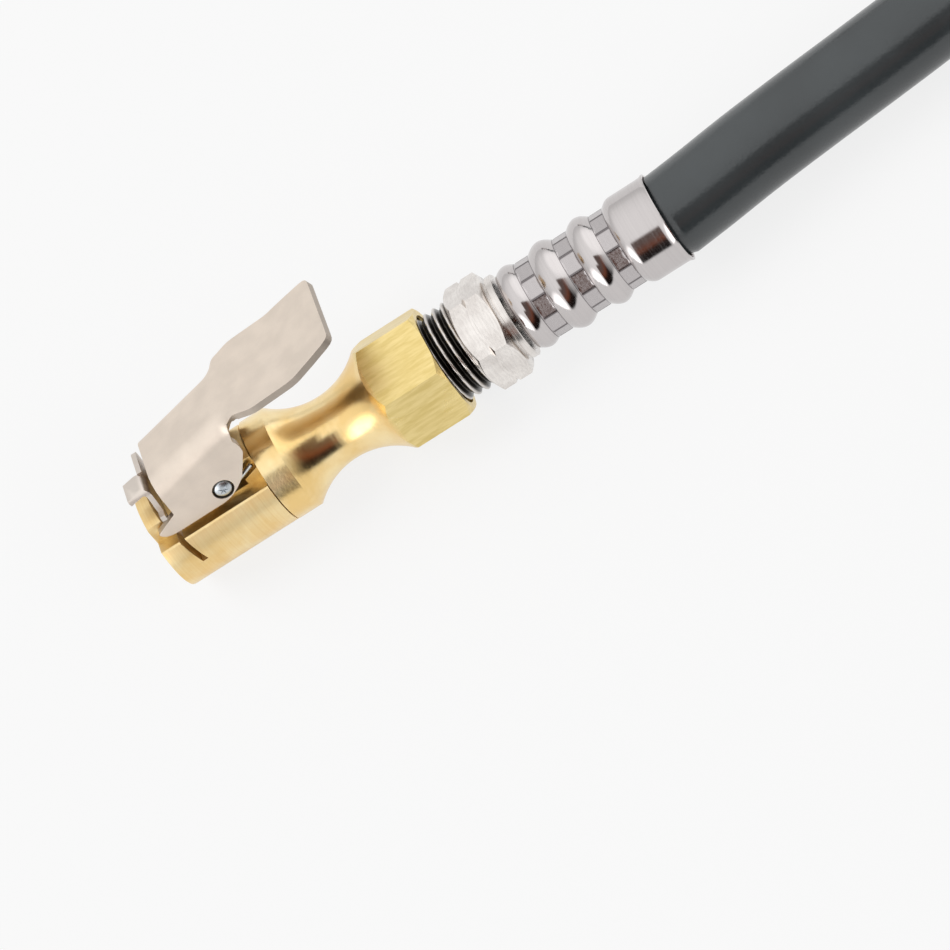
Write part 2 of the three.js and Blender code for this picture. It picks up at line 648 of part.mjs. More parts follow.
// Bulges rise between the crimped bands, and the last one runs into the plain skirt.
function crimpFerrule() {
  const bulgeSteps = 5;
  const bandRoot = bandFlats / 2 - bandDepth;
  const bandOverlap = 0.4;          // how far a band's flats run into the bulges
  const edges = [-bandWidth / 2, ...bandPlaces, skirtStart + bandWidth / 2 - seatClearance];
  const profile = [[0, ferruleInner], [0, bandRoot + gap]];
  edges.slice(0, -1).forEach((edge, k) => {
    const isLast = k + 2 === edges.length;
    const [from, to] = [edge + bandWidth / 2, edges[k + 1] - bandWidth / 2];
    const goal = isLast ? skirtRadius : bulgeRadii[k];
    for (let i = isLast ? 0 : 1; i <= bulgeSteps; i += 1) {
      const share = i / bulgeSteps;
      const rise = Math.sin(Math.PI * (isLast ? share / 2 : share));
      profile.push([from + (to - from) * share + 0.002 * i, bandRoot + (goal - bandRoot) * rise]);
    }
    if (!isLast) profile.push([to + bandWidth - 0.01, bandRoot]);
  });
  const lipStart = ferruleLength - lipLength;
  const skirtInner = skirtRadius - ferruleWall;
  profile.push([lipStart, skirtRadius], [ferruleLength, lipRadius]);
  profile.push([ferruleLength, lipRadius - skirtClearance]);
  profile.push([lipStart, skirtInner + 0.15], [skirtStart + 0.8, skirtInner + 0.1]);
  profile.push([skirtStart - 1.2, ferruleInner]);
  const reach = bandWidth / 2 + bandOverlap;
  const bands = bandPlaces.map((x) => prism(x - reach, x + reach, bandFlats, bandSides));
  const bore = rod(-1, skirtStart + 1, ferruleInner);
  return join(turned(profile), ...bands.map((band) => band.subtract(bore)));
}

// ---------------------------------------------------------------- hose
// The crimped end of the hose inside a ferrule, along +x out of the ferrule's mouth at x = 0.
function crimpedEnd() {
  const inside = ferruleLength - gap;
  const skirt = ferruleLength - skirtStart;
  const insideSkirt = hoseRadius - skirtClearance;
  const beyondMouth = 0.8;
  return turned([
    [-inside, 0], [-inside, crimpedHoseRadius], [-skirt - 1.4, crimpedHoseRadius],
    [-skirt + 1.2, insideSkirt], [beyondMouth, insideSkirt], [beyondMouth, 0],
  ]);
}

function hoseCurve() {
  const start = vector(ferruleMouth - originX, 0, axisHeight);
  const points = [start, ...hoseRoute.map(([x, y, z]) => vector(x, y, z))];
  return new THREE.CatmullRomCurve3(points, false, 'centripetal');
}

function circle(radius, sides) {
  const shape = new THREE.Shape();
  for (let i = 0; i < sides; i += 1) {
    const turn = (2 * Math.PI * i) / sides;
    if (i === 0) shape.moveTo(radius, 0);
    else shape.lineTo(radius * Math.cos(turn), radius * Math.sin(turn));
  }
  shape.closePath();
  return shape;
}

// The far ferrule's mouth stands where the route ends, and faces back along it.
const curve = hoseCurve();
const farEnd = curve.getPointAt(1);
const farDirection = farEnd.clone().sub(curve.getPointAt(0.985)).setZ(0).normalize();

function hose() {
  const options = { steps: hoseSteps, extrudePath: curve, bevelEnabled: false };
  const tube = (radius) => solid(new THREE.ExtrudeGeometry(circle(radius, hoseSides), options));
  const boreRod = rod(-ferruleLength - 1, 0.5, hoseBore, hoseSides);
  const toMouth = new THREE.Matrix4().makeTranslation(ferruleMouth - originX, 0, axisHeight);
  const toFar = placement(farEnd, farDirection.clone().negate());
  const places = [toMouth.toArray(), toFar.toArray()];
  const ends = places.map((place) => crimpedEnd().transform(place));
  const bores = places.map((place) => boreRod.transform(place));
  return cut(join(tube(hoseRadius), ...ends), tube(hoseBore), ...bores);
}

// A frame at a point with its x axis along a level direction.
function placement(point, direction) {
  const side = vector(-direction.y, direction.x, 0);
  return new THREE.Matrix4().makeBasis(direction, side, vector(0, 0, 1)).setPosition(point);
}

// ---------------------------------------------------------------- assembly
const whip = new THREE.Group();

const chuck = new THREE.Group();
chuck.position.set(-originX, 0, axisHeight);
chuck.rotation.x = degrees(-leverLean);
whip.add(chuck);

piece(chuck, 'chuck_body', chuckBody(), brass);
piece(chuck, 'chuck_barrel', barrel(), brass);
piece(chuck, 'thumb_lever', thumbLever(), nickel);
piece(chuck, 'jaw_plate', jawPlate(), nickel);
piece(chuck, 'pivot_pin', pivotPin(), zinc);

const springLine = leverSpringLine();
const springSteps = 2 * Math.round(coilSweep / 45) + 24;
piece(chuck, 'lever_spring', wire(springLine, springWire, springSteps, 5), springSteel);
console.log('lever_spring least gap to itself, mm:', selfGap(springLine, springWire).toFixed(2));

const faceSealEnd = sealFront + faceSealLength;
const faceSeal = ring(sealFront, faceSealEnd, faceSealHole, stemBoreRadius - gap);
piece(chuck, 'face_seal', faceSeal, sealRubber);
piece(chuck, 'depressor_pin', depressorPin(), brass);
const poppetSealEnd = poppetSealX + poppetSealLength;
const poppetSeal = ring(poppetSealX, poppetSealEnd, tipRadius + gap, poppetRadius);
piece(chuck, 'poppet_seal', poppetSeal, sealRubber);

const valveLine = valveSpringLine();
const valveSpring = wire(valveLine, valveSpringWire, valveSpringTurns * 8, 5);
piece(chuck, 'poppet_spring', valveSpring, springSteel);
console.log('poppet_spring least gap to itself, mm:', selfGap(valveLine, valveSpringWire).toFixed(2));

const retainer = ring(retainerX, retainerX + retainerLength, retainerHole, chamberRadius - gap);
piece(chuck, 'spring_retainer', retainer, brass);
const washerX = spigotEnd + partingLine;
const washer = ring(washerX, washerX + washerThickness, chamberRadius + seatClearance, spigotRadius);
piece(chuck, 'barrel_washer', washer, sealRubber);

// The near fitting stands at its own roll in the chuck body, as it was tightened.
const nearFitting = new THREE.Group();
nearFitting.position.set(fittingHexStart - originX, 0, axisHeight);
nearFitting.rotation.x = degrees(13.1);
whip.add(nearFitting);
piece(nearFitting, 'hose_nipple', hoseFitting(), plate);

const nearFerrule = new THREE.Group();
nearFerrule.position.set(ferruleFront - originX, 0, axisHeight);
nearFerrule.rotation.x = degrees(5.5);
whip.add(nearFerrule);
piece(nearFerrule, 'hose_ferrule', crimpFerrule(), chrome);

piece(whip, 'hose', hose(), rubber);

const farGroup = new THREE.Group();
farGroup.applyMatrix4(placement(farEnd, farDirection.clone().negate()));
whip.add(farGroup);
const farFerrule = piece(farGroup, 'end_ferrule', crimpFerrule(), chrome);
farFerrule.position.x = -ferruleLength;
const farFitting = piece(farGroup, 'end_fitting', hoseFitting(), plate);
farFitting.position.x = -ferruleLength - (ferruleFront - fittingHexStart);

console.log('hose route length, mm:', (curve.getLength() + 2 * (ferruleLength - gap)).toFixed(1));

export default whip;
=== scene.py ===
# %% [markdown]
# # A clip-on tyre chuck on its hose whip
# The real object is a brass chuck that clips on a tyre valve, a steel fitting, and a short rubber
# hose crimped into bright ferrules. The solid parts are already here as a fixed frame, in metres,
# so each piece below is made where its solid lies and takes its place in the picture.

# %% The frame
import math

import bmesh
import bpy
import numpy as np
from mathutils import Matrix, Vector
from mathutils.geometry import delaunay_2d_cdt

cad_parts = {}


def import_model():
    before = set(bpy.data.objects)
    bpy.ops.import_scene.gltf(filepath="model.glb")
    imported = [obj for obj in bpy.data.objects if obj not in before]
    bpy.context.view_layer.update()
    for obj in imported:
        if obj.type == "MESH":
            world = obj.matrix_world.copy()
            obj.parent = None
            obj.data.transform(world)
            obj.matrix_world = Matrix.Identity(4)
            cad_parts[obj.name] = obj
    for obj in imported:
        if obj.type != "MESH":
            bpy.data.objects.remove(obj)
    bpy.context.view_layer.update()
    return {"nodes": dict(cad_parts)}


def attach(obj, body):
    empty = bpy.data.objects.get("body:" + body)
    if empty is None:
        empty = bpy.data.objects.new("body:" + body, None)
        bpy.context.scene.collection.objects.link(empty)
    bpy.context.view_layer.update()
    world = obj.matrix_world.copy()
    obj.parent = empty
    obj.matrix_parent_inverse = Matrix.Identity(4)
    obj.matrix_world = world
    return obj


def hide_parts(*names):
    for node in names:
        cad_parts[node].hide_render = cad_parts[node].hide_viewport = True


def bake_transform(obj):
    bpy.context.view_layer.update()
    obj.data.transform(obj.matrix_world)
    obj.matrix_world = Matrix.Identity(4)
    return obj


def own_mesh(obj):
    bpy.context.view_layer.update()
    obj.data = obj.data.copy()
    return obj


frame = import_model()
print("solids:", sorted(frame["nodes"]))

MM = 0.001


def in_scene(name, data):
    """A new object in the scene that holds a camera, a lamp or a mesh."""
    made = bpy.data.objects.new(name, data)
    bpy.context.scene.collection.objects.link(made)
    return made


# %% [markdown]
# ## Camera
# The chuck lies on one flat of its hexagon and is seen from above and a little in front. A long
# lens far away keeps its lines nearly parallel, as in a product photograph. The direction, the
# roll and the distance were worked out from the chuck's straight edges.

# %% Camera
AXIS_HEIGHT = 7.9375
VIEW_TURN = math.radians(9.0)
VIEW_TIP = math.radians(22.0)
VIEW_ROLL = math.radians(32.3)
VIEW_DISTANCE = 900 * MM
VIEW_LENS = 243.9
VIEW_AIM = (-24.4, 0, 7.94)
AIM_RIGHT = 28.67
AIM_DOWN = 0.70


def camera_axes():
    """The directions to the camera, to the right and up in the picture."""
    away = Vector((
        math.sin(VIEW_TURN),
        -math.cos(VIEW_TURN) * math.sin(VIEW_TIP),
        math.cos(VIEW_TURN) * math.cos(VIEW_TIP),
    ))
    along = Vector((1, 0, 0))
    level = (along - away * along.dot(away)).normalized()
    rise = away.cross(level)
    right = level * math.cos(VIEW_ROLL) - rise * math.sin(VIEW_ROLL)
    up = level * math.sin(VIEW_ROLL) + rise * math.cos(VIEW_ROLL)
    return away, right, up


def make_camera():
    away, right, up = camera_axes()
    aim = Vector(VIEW_AIM) * MM + right * AIM_RIGHT * MM - up * AIM_DOWN * MM
    data = bpy.data.cameras.new("photo_view")
    data.sensor_width = 36
    data.lens = VIEW_LENS
    data.clip_start = 0.05
    data.clip_end = 20
    camera = in_scene("photo_view", data)
    turn = Matrix((right, up, away)).transposed().to_4x4()
    camera.matrix_world = Matrix.Translation(aim + away * VIEW_DISTANCE) @ turn
    bpy.context.scene.camera = camera
    return camera


print("camera at", tuple(round(v, 4) for v in make_camera().location))

# %% [markdown]
# ## Sizes shared by several pieces
# They are the real object's sizes in millimetres. x runs back along the chuck from the front of
# its barrel. Each piece keeps coordinates of its own, with its turning axis along x, so that marks
# left by a lathe can follow that axis.

# %% Places
ORIGIN_X = 42.3015
FITTING_X = 51.6
FERRULE_X = 59.4
FERRULE_LENGTH = 24.8
LEVER_LEAN = math.radians(29)
FITTING_ROLL = math.radians(13.1)
FERRULE_ROLL = math.radians(5.5)


def placed(x, turn):
    """The frame of a piece on the chuck's axis, turned about it."""
    return Matrix.Translation(Vector((x, 0, AXIS_HEIGHT)) * MM) @ Matrix.Rotation(turn, 4, "X")


CHUCK = placed(-ORIGIN_X, -LEVER_LEAN)
NEAR_FITTING = placed(FITTING_X - ORIGIN_X, FITTING_ROLL)
NEAR_FERRULE = placed(FERRULE_X - ORIGIN_X, FERRULE_ROLL)

# %% [markdown]
# ## Hose route
# The hose leaves its ferrule straight, sinks onto the surface and lies there in one loose loop.
# The points are joined by a centripetal Catmull-Rom curve, which passes through every point and
# never makes a loop of its own between two of them.

# %% Hose route
HOSE_RADIUS = 6.35
HOSE_BORE = 3.175
HOSE_POINTS = [
    (41.8985, 0, 7.9375), (48, 0.7, 7.75), (56, 1.8, 7.4), (66, 2.9, 6.95), (76, 3.85, 6.6),
    (86, 4.8, 6.45), (96, 6.0, 6.45), (111, 9.2, 6.45), (127, 15.5, 6.45), (141, 27.4, 6.45),
    (151, 42.7, 6.45), (157, 60, 6.45), (158, 78.4, 6.45), (154, 96, 6.45),
    (146.4, 112.4, 6.5), (135, 126.6, 6.6), (120.6, 137.7, 6.85), (112, 142.2, 7.05),
    (104, 145.3, 7.145), (97.4, 147.2, 7.145),
]


def through(points, per_span=12):
    """Points of a centripetal Catmull-Rom curve, with its tangents."""
    p = [Vector(q) for q in points]
    p = [2 * p[0] - p[1], *p, 2 * p[-1] - p[-2]]
    line, tangents = [], []
    for a, b, c, d in zip(p, p[1:], p[2:], p[3:]):
        ta, tb, tc = (max((v - u).length, 1e-6) ** 0.5 for u, v in ((a, b), (b, c), (c, d)))
        start = ((b - a) / ta - (c - a) / (ta + tb) + (c - b) / tb) * tb
        end = ((c - b) / tb - (d - b) / (tb + tc) + (d - c) / tc) * tb
        for i in range(per_span):
            t = i / per_span
            line.append(
                b * (2 * t**3 - 3 * t**2 + 1) + c * (3 * t**2 - 2 * t**3)
                + start * (t**3 - 2 * t**2 + t) + end * (t**3 - t**2)
            )
            tangents.append(
                b * (6 * t**2 - 6 * t) + c * (6 * t - 6 * t**2)
                + start * (3 * t**2 - 4 * t + 1) + end * (3 * t**2 - 2 * t)
            )
    line.append(p[-2])
    tangents.append(p[-2] - line[-2])
    return line, [t.normalized() for t in tangents]


hose_line, hose_tangents = through(HOSE_POINTS, 14)
free_length = sum((b - a).length for a, b in zip(hose_line, hose_line[1:]))
print("free hose, mm:", round(free_length, 1))

# %% [markdown]
# The far fitting stands where the route ends, and faces back along it.

# %% Far end
FAR_DIRECTION = Vector((-0.9641396, 0.2653955, 0))
FAR_MOUTH = Matrix.Translation(Vector(HOSE_POINTS[-1]) * MM) @ Matrix((
    -FAR_DIRECTION,
    Vector((FAR_DIRECTION.y, -FAR_DIRECTION.x, 0)),
    Vector((0, 0, 1)),
)).transposed().to_4x4()
FAR_FERRULE = FAR_MOUTH @ Matrix.Translation((-FERRULE_LENGTH * MM, 0, 0))
FAR_FITTING = FAR_FERRULE @ Matrix.Translation(((FITTING_X - FERRULE_X) * MM, 0, 0))

# %% [markdown]
# ## Colours and shader nodes
# Colours are written as a paint program shows them and turned to linear light once, here. One
# small function adds a shader node with its settings and links.


# %% Colour and node helpers
def colour(code):
    """A #RRGGBB colour as linear light."""
    parts = [int(code[i:i + 2], 16) / 255 for i in (1, 3, 5)]
    return [c / 12.92 if c <= 0.04045 else ((c + 0.055) / 1.055) ** 2.4 for c in parts] + [1.0]


def darker(code, share):
    """A #RRGGBB colour at a share of its light."""
    return [c * share for c in colour(code)[:3]] + [1.0]


def add(tree, kind, settings=None, **inputs):
    """Adds a node. An input's value is a constant or another node's output socket."""
    node = tree.nodes.new(kind)
    for name, value in (settings or {}).items():
        setattr(node, name, value)
    for name, value in inputs.items():
        key = int(name[1:]) if name[0] == "i" and name[1:].isdigit() else name.replace("_", " ")
        socket = node.inputs[key]
        if isinstance(value, bpy.types.NodeSocket):
            tree.links.new(value, socket)
        else:
            socket.default_value = value
    return node


def ramp(tree, value, stops):
    """A colour ramp over a value, from (place, colour) pairs."""
    node = add(tree, "ShaderNodeValToRGB", Fac=value)
    band = node.color_ramp
    while len(band.elements) < len(stops):
        band.elements.new(0.5)
    for element, (place, shade) in zip(band.elements, stops):
        element.position = place
        element.color = shade
    return node.outputs["Color"]


def grey(level):
    return (level, level, level, 1)


def material_tree(name):
    """A new material and its node tree."""
    material = bpy.data.materials.new(name)
    material.use_nodes = True
    return material, material.node_tree


def maths(tree, operation, first, second=0.0):
    """A sum on one or two values."""
    return add(tree, "ShaderNodeMath", {"operation": operation}, i0=first, i1=second).outputs[0]


def spread(tree, value, low, high, to_low, to_high):
    """Maps a value from one range to another."""
    node = add(tree, "ShaderNodeMapRange", i0=value, i1=low, i2=high, i3=to_low, i4=to_high)
    return node.outputs[0]


def ranged(tree, value, to_low, to_high):
    """Maps noise, which lies mostly between 0.3 and 0.7, to a range."""
    return spread(tree, value, 0.3, 0.7, to_low, to_high)


def mixed(tree, share, first, second):
    """A mix of two values by a share."""
    return add(tree, "ShaderNodeMix", i0=share, i2=first, i3=second).outputs[0]


def blended(tree, share, first, second):
    """A mix of two colours by a share."""
    node = add(tree, "ShaderNodeMix", {"data_type": "RGBA"}, i0=share, i6=first, i7=second)
    return node.outputs[2]


# %% [markdown]
# ## Mesh helpers
# Turned pieces are lathe profiles, spun with far more sides than the solids have. Flats, slots
# and holes are then milled out of them with booleans, as they are on the real ones. A narrow
# bevel on every sharp edge catches the light, because no real edge is perfectly sharp.


# %% Mesh helpers
def mesh_object(name, points, faces):
    """A mesh object from points in millimetres."""
    mesh = bpy.data.meshes.new(name)
    mesh.from_pydata([tuple(c * MM for c in p) for p in points], [], faces)
    shaped = bmesh.new()
    shaped.from_mesh(mesh)
    bmesh.ops.remove_doubles(shaped, verts=shaped.verts, dist=1e-7)
    bmesh.ops.recalc_face_normals(shaped, faces=shaped.faces)
    shaped.to_mesh(mesh)
    shaped.free()
    return in_scene(name, mesh)


def spun(name, profile, sides=160, radius_of=None):
    """A closed profile of (x, radius) turned about x. radius_of gives the radii left as None."""
    points, faces = [], []
    for k in range(sides):
        angle = 2 * math.pi * k / sides
        for x, radius in profile:
            r = radius_of(x, angle) if radius is None else radius
            points.append((x, r * math.cos(angle), r * math.sin(angle)))
    count = len(profile)
    for k in range(sides):
        here, there = k * count, ((k + 1) % sides) * count
        for i in range(count):
            j = (i + 1) % count
            if profile[i][1] != 0 or profile[j][1] != 0:
                faces.append((here + i, here + j, there + j, there + i))
    return mesh_object(name, points, faces)


def extruded(name, outline, low, high, place):
    """A closed outline of (a, b) extruded from low to high; place puts (a, b, c) into x, y, z."""
    count = len(outline)
    points = [place(a, b, low) for a, b in outline] + [place(a, b, high) for a, b in outline]
    faces = [tuple(range(count)), tuple(range(2 * count - 1, count - 1, -1))]
    faces += [(i, (i + 1) % count, count + (i + 1) % count, count + i) for i in range(count)]
    return mesh_object(name, points, faces)


def side_view(x, z, y):
    return (x, y, z)


def end_view(y, z, x):
    return (x, y, z)


def polygon_round(flats, sides, turn=0.0):
    """A polygon round (0, 0) with one flat facing up, turned by an angle."""
    radius = flats / 2 / math.cos(math.pi / sides)
    first = math.pi / 2 + math.pi / sides + turn
    steps = [first + 2 * math.pi * i / sides for i in range(sides)]
    return [(radius * math.cos(a), radius * math.sin(a)) for a in steps]


def arc(centre, radius, first, last, count):
    """Points of an arc from one angle to another."""
    return [(centre[0] + radius * math.cos(a), centre[1] + radius * math.sin(a))
            for a in np.linspace(first, last, count)]


def circle(centre, radius, count):
    """The corners of a whole circle."""
    return arc(centre, radius, 0, 2 * math.pi, count + 1)[:-1]


def applied(piece):
    """Turns the effect of a piece's modifiers into its own mesh."""
    graph = bpy.context.evaluated_depsgraph_get()
    mesh = bpy.data.meshes.new_from_object(piece.evaluated_get(graph))
    piece.modifiers.clear()
    piece.data = mesh
    return mesh


def milled(target, tools, operation="DIFFERENCE"):
    """Applies booleans to target and removes the tools."""
    for tool in tools:
        step = target.modifiers.new("mill", "BOOLEAN")
        step.object = tool
        step.operation = operation
        step.solver = "EXACT"
    applied(target)
    for tool in tools:
        bpy.data.objects.remove(tool)
    return target


def finished(piece, finish, body, node, frame_of=None, edge=0.12, angle=28):
    """Places a piece, rounds its edges, gives it a finish's material and a body, and hides the node
    it stands for.

    A finish is a material with the name of its slot; the slot's name is not used.
    Each point keeps its place on the piece itself, in millimetres, for the marks of its making.
    """
    own = piece.data.attributes.new("own_place", "FLOAT_VECTOR", "POINT")
    own.data.foreach_set("vector", [c / MM for v in piece.data.vertices for c in v.co])
    if frame_of is not None:
        piece.data.transform(frame_of)
    for face in piece.data.polygons:
        face.use_smooth = True
    piece.data.set_sharp_from_angle(angle=math.radians(angle))
    if edge:
        bevel = piece.modifiers.new("worn_edges", "BEVEL")
        bevel.width = edge * MM
        bevel.segments = 2
        bevel.limit_method = "ANGLE"
        bevel.angle_limit = math.radians(angle)
    material, slot = finish
    piece.data.materials.clear()
    piece.data.materials.append(material)
    if body:
        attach(piece, body)
    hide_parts(node)
    print(piece.name, "made with", len(piece.data.polygons), "faces")
    return piece


# %% [markdown]
# ## Metals
# Brass, nickel and chrome are full metals: their colour is the colour of their reflection, and
# what tells them apart is how rough the surface is and which way its marks run. A lathe leaves
# rings round the turning axis, so the noise is squeezed along x and stretched round it.


# %% Lathe marks
def own_place(tree):
    """A point's place on its piece, in millimetres."""
    return add(tree, "ShaderNodeAttribute", {"attribute_name": "own_place"}).outputs["Vector"]


def axis_parts(tree):
    """A point's place on its piece, how far along the axis it is and how far from it, in mm."""
    place = own_place(tree)
    parts = add(tree, "ShaderNodeSeparateXYZ", Vector=place)
    across = add(tree, "ShaderNodeCombineXYZ", Y=parts.outputs["Y"], Z=parts.outputs["Z"])
    radius = add(tree, "ShaderNodeVectorMath", {"operation": "LENGTH"}, i0=across.outputs[0])
    return place, parts.outputs["X"], radius.outputs["Value"]


def noise(tree, place, per_mm, detail, roughness=0.5):
    return add(
        tree, "ShaderNodeTexNoise",
        Vector=place, Scale=per_mm, Detail=detail, Roughness=roughness,
    ).outputs["Fac"]


def rings(tree, x, radius, per_mm, detail=3.0):
    """Noise that changes along x and with the radius, and not round the axis."""
    ring = add(tree, "ShaderNodeCombineXYZ", X=x, Y=radius)
    return noise(tree, ring.outputs[0], per_mm, detail, 0.6)


def streaks(tree, place, per_mm):
    """Noise drawn out along x, as a bar's skin is by its die."""
    long = add(tree, "ShaderNodeVectorMath", {"operation": "MULTIPLY"}, i0=place, i1=(0.15, 1, 1))
    return noise(tree, long.outputs[0], per_mm, 5.0, 0.65)


def clouded(tree, place, per_mm, detail, first, second):
    """Two colours that drift into each other over a piece."""
    share = spread(tree, noise(tree, place, per_mm, detail), 0.35, 0.65, 0.0, 1.0)
    return blended(tree, share, first, second)


def both_sides(tree, value, middle, width):
    """1 where a value is at the middle, falling to 0 a width away on both sides."""
    away = maths(tree, "ABSOLUTE", maths(tree, "SUBTRACT", value, middle))
    return spread(tree, away, 0.0, width, 1.0, 0.0)


def metal(name, tint, roughness):
    """A metal material and its shader, with the marks left to add."""
    material, tree = material_tree(name)
    shader = tree.nodes["Principled BSDF"]
    shader.inputs["Metallic"].default_value = 1.0
    shader.inputs["Base Color"].default_value = colour(tint)
    shader.inputs["Roughness"].default_value = roughness
    material.diffuse_color = colour(tint)
    return material, tree, shader


def surfaced(tree, shader, tint, rough, height, depth_mm):
    """Gives a shader its colour, its roughness and a height pattern with its depth."""
    bump = add(tree, "ShaderNodeBump", Height=height, Strength=1.0, Distance=depth_mm * MM)
    tree.links.new(tint, shader.inputs["Base Color"])
    tree.links.new(rough, shader.inputs["Roughness"])
    tree.links.new(bump.outputs["Normal"], shader.inputs["Normal"])


def along_axis(tree, shader, amount):
    """Fine marks round the axis smear a reflection along the axis."""
    around = add(tree, "ShaderNodeTangent", {"direction_type": "RADIAL", "axis": "X"})
    tree.links.new(around.outputs[0], shader.inputs["Tangent"])
    shader.inputs["Anisotropic"].default_value = amount
    shader.inputs["Anisotropic Rotation"].default_value = 0.25


# %% [markdown]
# The barrel is brass left as the lathe tool cut it: satin, with rings a tenth of a millimetre
# apart. Rings that fine would vanish in the picture, so they are drawn about three times wider.


# %% Satin turned brass
def satin_turned_brass():
    material, tree, shader = metal("satin_turned_brass", "#F0D090", 0.42)
    place, x, radius = axis_parts(tree)
    fine = rings(tree, x, radius, 3.2)
    broad = rings(tree, x, radius, 0.55, 1.0)
    tint = clouded(tree, place, 0.22, 4.0, colour("#F8D796"), colour("#FFEAB8"))
    tint = blended(tree, ranged(tree, fine, 0.0, 0.35), tint, colour("#E6BE78"))
    surfaced(tree, shader, tint, ranged(tree, broad, 0.36, 0.48), fine, 0.015)
    along_axis(tree, shader, 0.85)
    return material


brass_satin = (satin_turned_brass(), "turned_brass")


# %% Polished turned brass
HEXAGON_START = (36.8, 37.6)


def polished_turned_brass():
    """The body: polished over its waist, and as drawn bar over its hexagon."""
    material, tree, shader = metal("polished_turned_brass", "#EFD090", 0.18)
    place, x, radius = axis_parts(tree)
    fine = rings(tree, x, radius, 2.4)
    on_hexagon = spread(tree, x, *HEXAGON_START, 0.0, 1.0)
    cloud = noise(tree, place, 0.16, 5.0)
    share = spread(tree, cloud, 0.38, 0.62, 0.0, 1.0)
    waist = blended(tree, share, colour("#F2CF8C"), colour("#FDE6B2"))
    drawn = spread(tree, streaks(tree, place, 1.3), 0.36, 0.6, 0.0, 1.0)
    bar = blended(tree, drawn, colour("#E3CA82"), colour("#F5DE9C"))
    tint = blended(tree, on_hexagon, waist, bar)
    rough = mixed(tree, on_hexagon, ranged(tree, fine, 0.17, 0.26), ranged(tree, cloud, 0.26, 0.36))
    skin = mixed(tree, on_hexagon, noise(tree, place, 1.7, 5.0), streaks(tree, place, 2.6))
    surfaced(tree, shader, tint, rough, mixed(tree, 0.35, skin, fine), 0.014)
    return material


brass_polished = (polished_turned_brass(), "turned_brass")

# %% [markdown]
# The lever and the jaw are pressed from steel sheet and plated with nickel. Tumbling after the
# press leaves a fine even grain without a direction, and nickel is warmer than chrome.


# %% Satin nickel plate
def satin_nickel_plate(name, tint, roughness):
    material, tree, shader = metal(name, tint, roughness)
    place = own_place(tree)
    grain = noise(tree, place, 7.0, 3.0)
    plate = clouded(tree, place, 0.3, 6.0, darker(tint, 0.92), colour(tint))
    # Painted shade: the sheet's cut faces, marked as sheared_edge, are painted half way to dark
    # grey.
    edge = add(tree, "ShaderNodeAttribute", {"attribute_name": "sheared_edge"}).outputs["Fac"]
    shaded_cut = blended(tree, spread(tree, edge, 0.0, 1.0, 0.0, 0.5), plate, colour("#6B6258"))
    rough = ranged(tree, grain, roughness - 0.05, roughness + 0.07)
    surfaced(tree, shader, shaded_cut, rough, grain, 0.004)
    return material


nickel_satin = (satin_nickel_plate("satin_nickel_plate", "#EFE2D4", 0.46), "satin_nickel")
nickel_jaw = (satin_nickel_plate("bright_nickel_plate", "#E4DAD0", 0.34), "satin_nickel")

# %% [markdown]
# The fittings are turned steel under bright nickel. The roots of the thread are painted nearly
# black as painted shade, darker towards the axis.


# %% Nickel plated steel
THREAD_NARROWING = 0.6 / 32
ROOT_SHADE_RADII = (6.55, 6.8)


def nickel_plated_steel():
    material, tree, shader = metal("nickel_plated_steel", "#E4DFDD", 0.22)
    place, x, radius = axis_parts(tree)
    turned = rings(tree, x, radius, 4.0)
    plate = clouded(tree, place, 0.35, 3.0, colour("#DED8D3"), colour("#F1ECE7"))
    plate = blended(tree, spread(tree, turned, 0.4, 0.7, 0.0, 0.25), plate, colour("#A8A2A0"))
    on_thread = spread(tree, x, -0.2, 0.1, 1.0, 0.0)
    off_face = spread(tree, x, -12.97, -12.8, 0.0, 1.0)
    untapered = maths(tree, "ADD", radius, maths(tree, "MULTIPLY", x, -THREAD_NARROWING))
    # Painted shade: the thread's roots are painted nearly black, most where the radius is least.
    in_root = spread(tree, untapered, *ROOT_SHADE_RADII, 0.97, 0.1)
    root_shade = maths(tree, "MULTIPLY", maths(tree, "MULTIPLY", on_thread, in_root), off_face)
    tint = blended(tree, root_shade, plate, colour("#23201B"))
    surfaced(tree, shader, tint, ranged(tree, turned, 0.16, 0.3), turned, 0.008)
    return material


steel_plated = (nickel_plated_steel(), "nickel_plate")


# %% Bright chrome and small finishes
def bright_chrome_plate():
    """Thin steel, polished and chromed. Where the crimping jaws pressed, the shine is broken."""
    material, tree, shader = metal("bright_chrome_plate", "#CFCACB", 0.12)
    place, x, radius = axis_parts(tree)
    polish = rings(tree, x, radius, 3.0)
    grain = noise(tree, place, 3.5, 3.0)
    pressed = spread(tree, radius, 5.92, 6.02, 1.0, 0.0)
    tint = blended(tree, pressed, colour("#CBC6C5"), colour("#C2BDBD"))
    tint = blended(tree, spread(tree, polish, 0.35, 0.7, 0.0, 0.12), tint, colour("#A09A9C"))
    # Painted shade: thin dark lines along the creases of the pressed bands and where the bands end.
    tint = blended(tree, both_sides(tree, radius, 5.93, 0.05), tint, colour("#5A5456"))
    rough = mixed(tree, pressed, ranged(tree, polish, 0.07, 0.16), ranged(tree, grain, 0.18, 0.34))
    surfaced(tree, shader, tint, rough, mixed(tree, pressed, polish, grain), 0.01)
    return material


chrome_bright = (bright_chrome_plate(), "bright_chrome")
zinc_bright = (satin_nickel_plate("bright_zinc_plate", "#CDD3D8", 0.3), "zinc_pin")
steel_wire = (satin_nickel_plate("drawn_spring_steel", "#C6C8CA", 0.25), "spring_wire")

# %% [markdown]
# ## Rubber
# The hose cover is extruded black rubber. It is smooth enough for a soft highlight, with a fine
# grain from the die. The seals are plain moulded rubber, more matt.


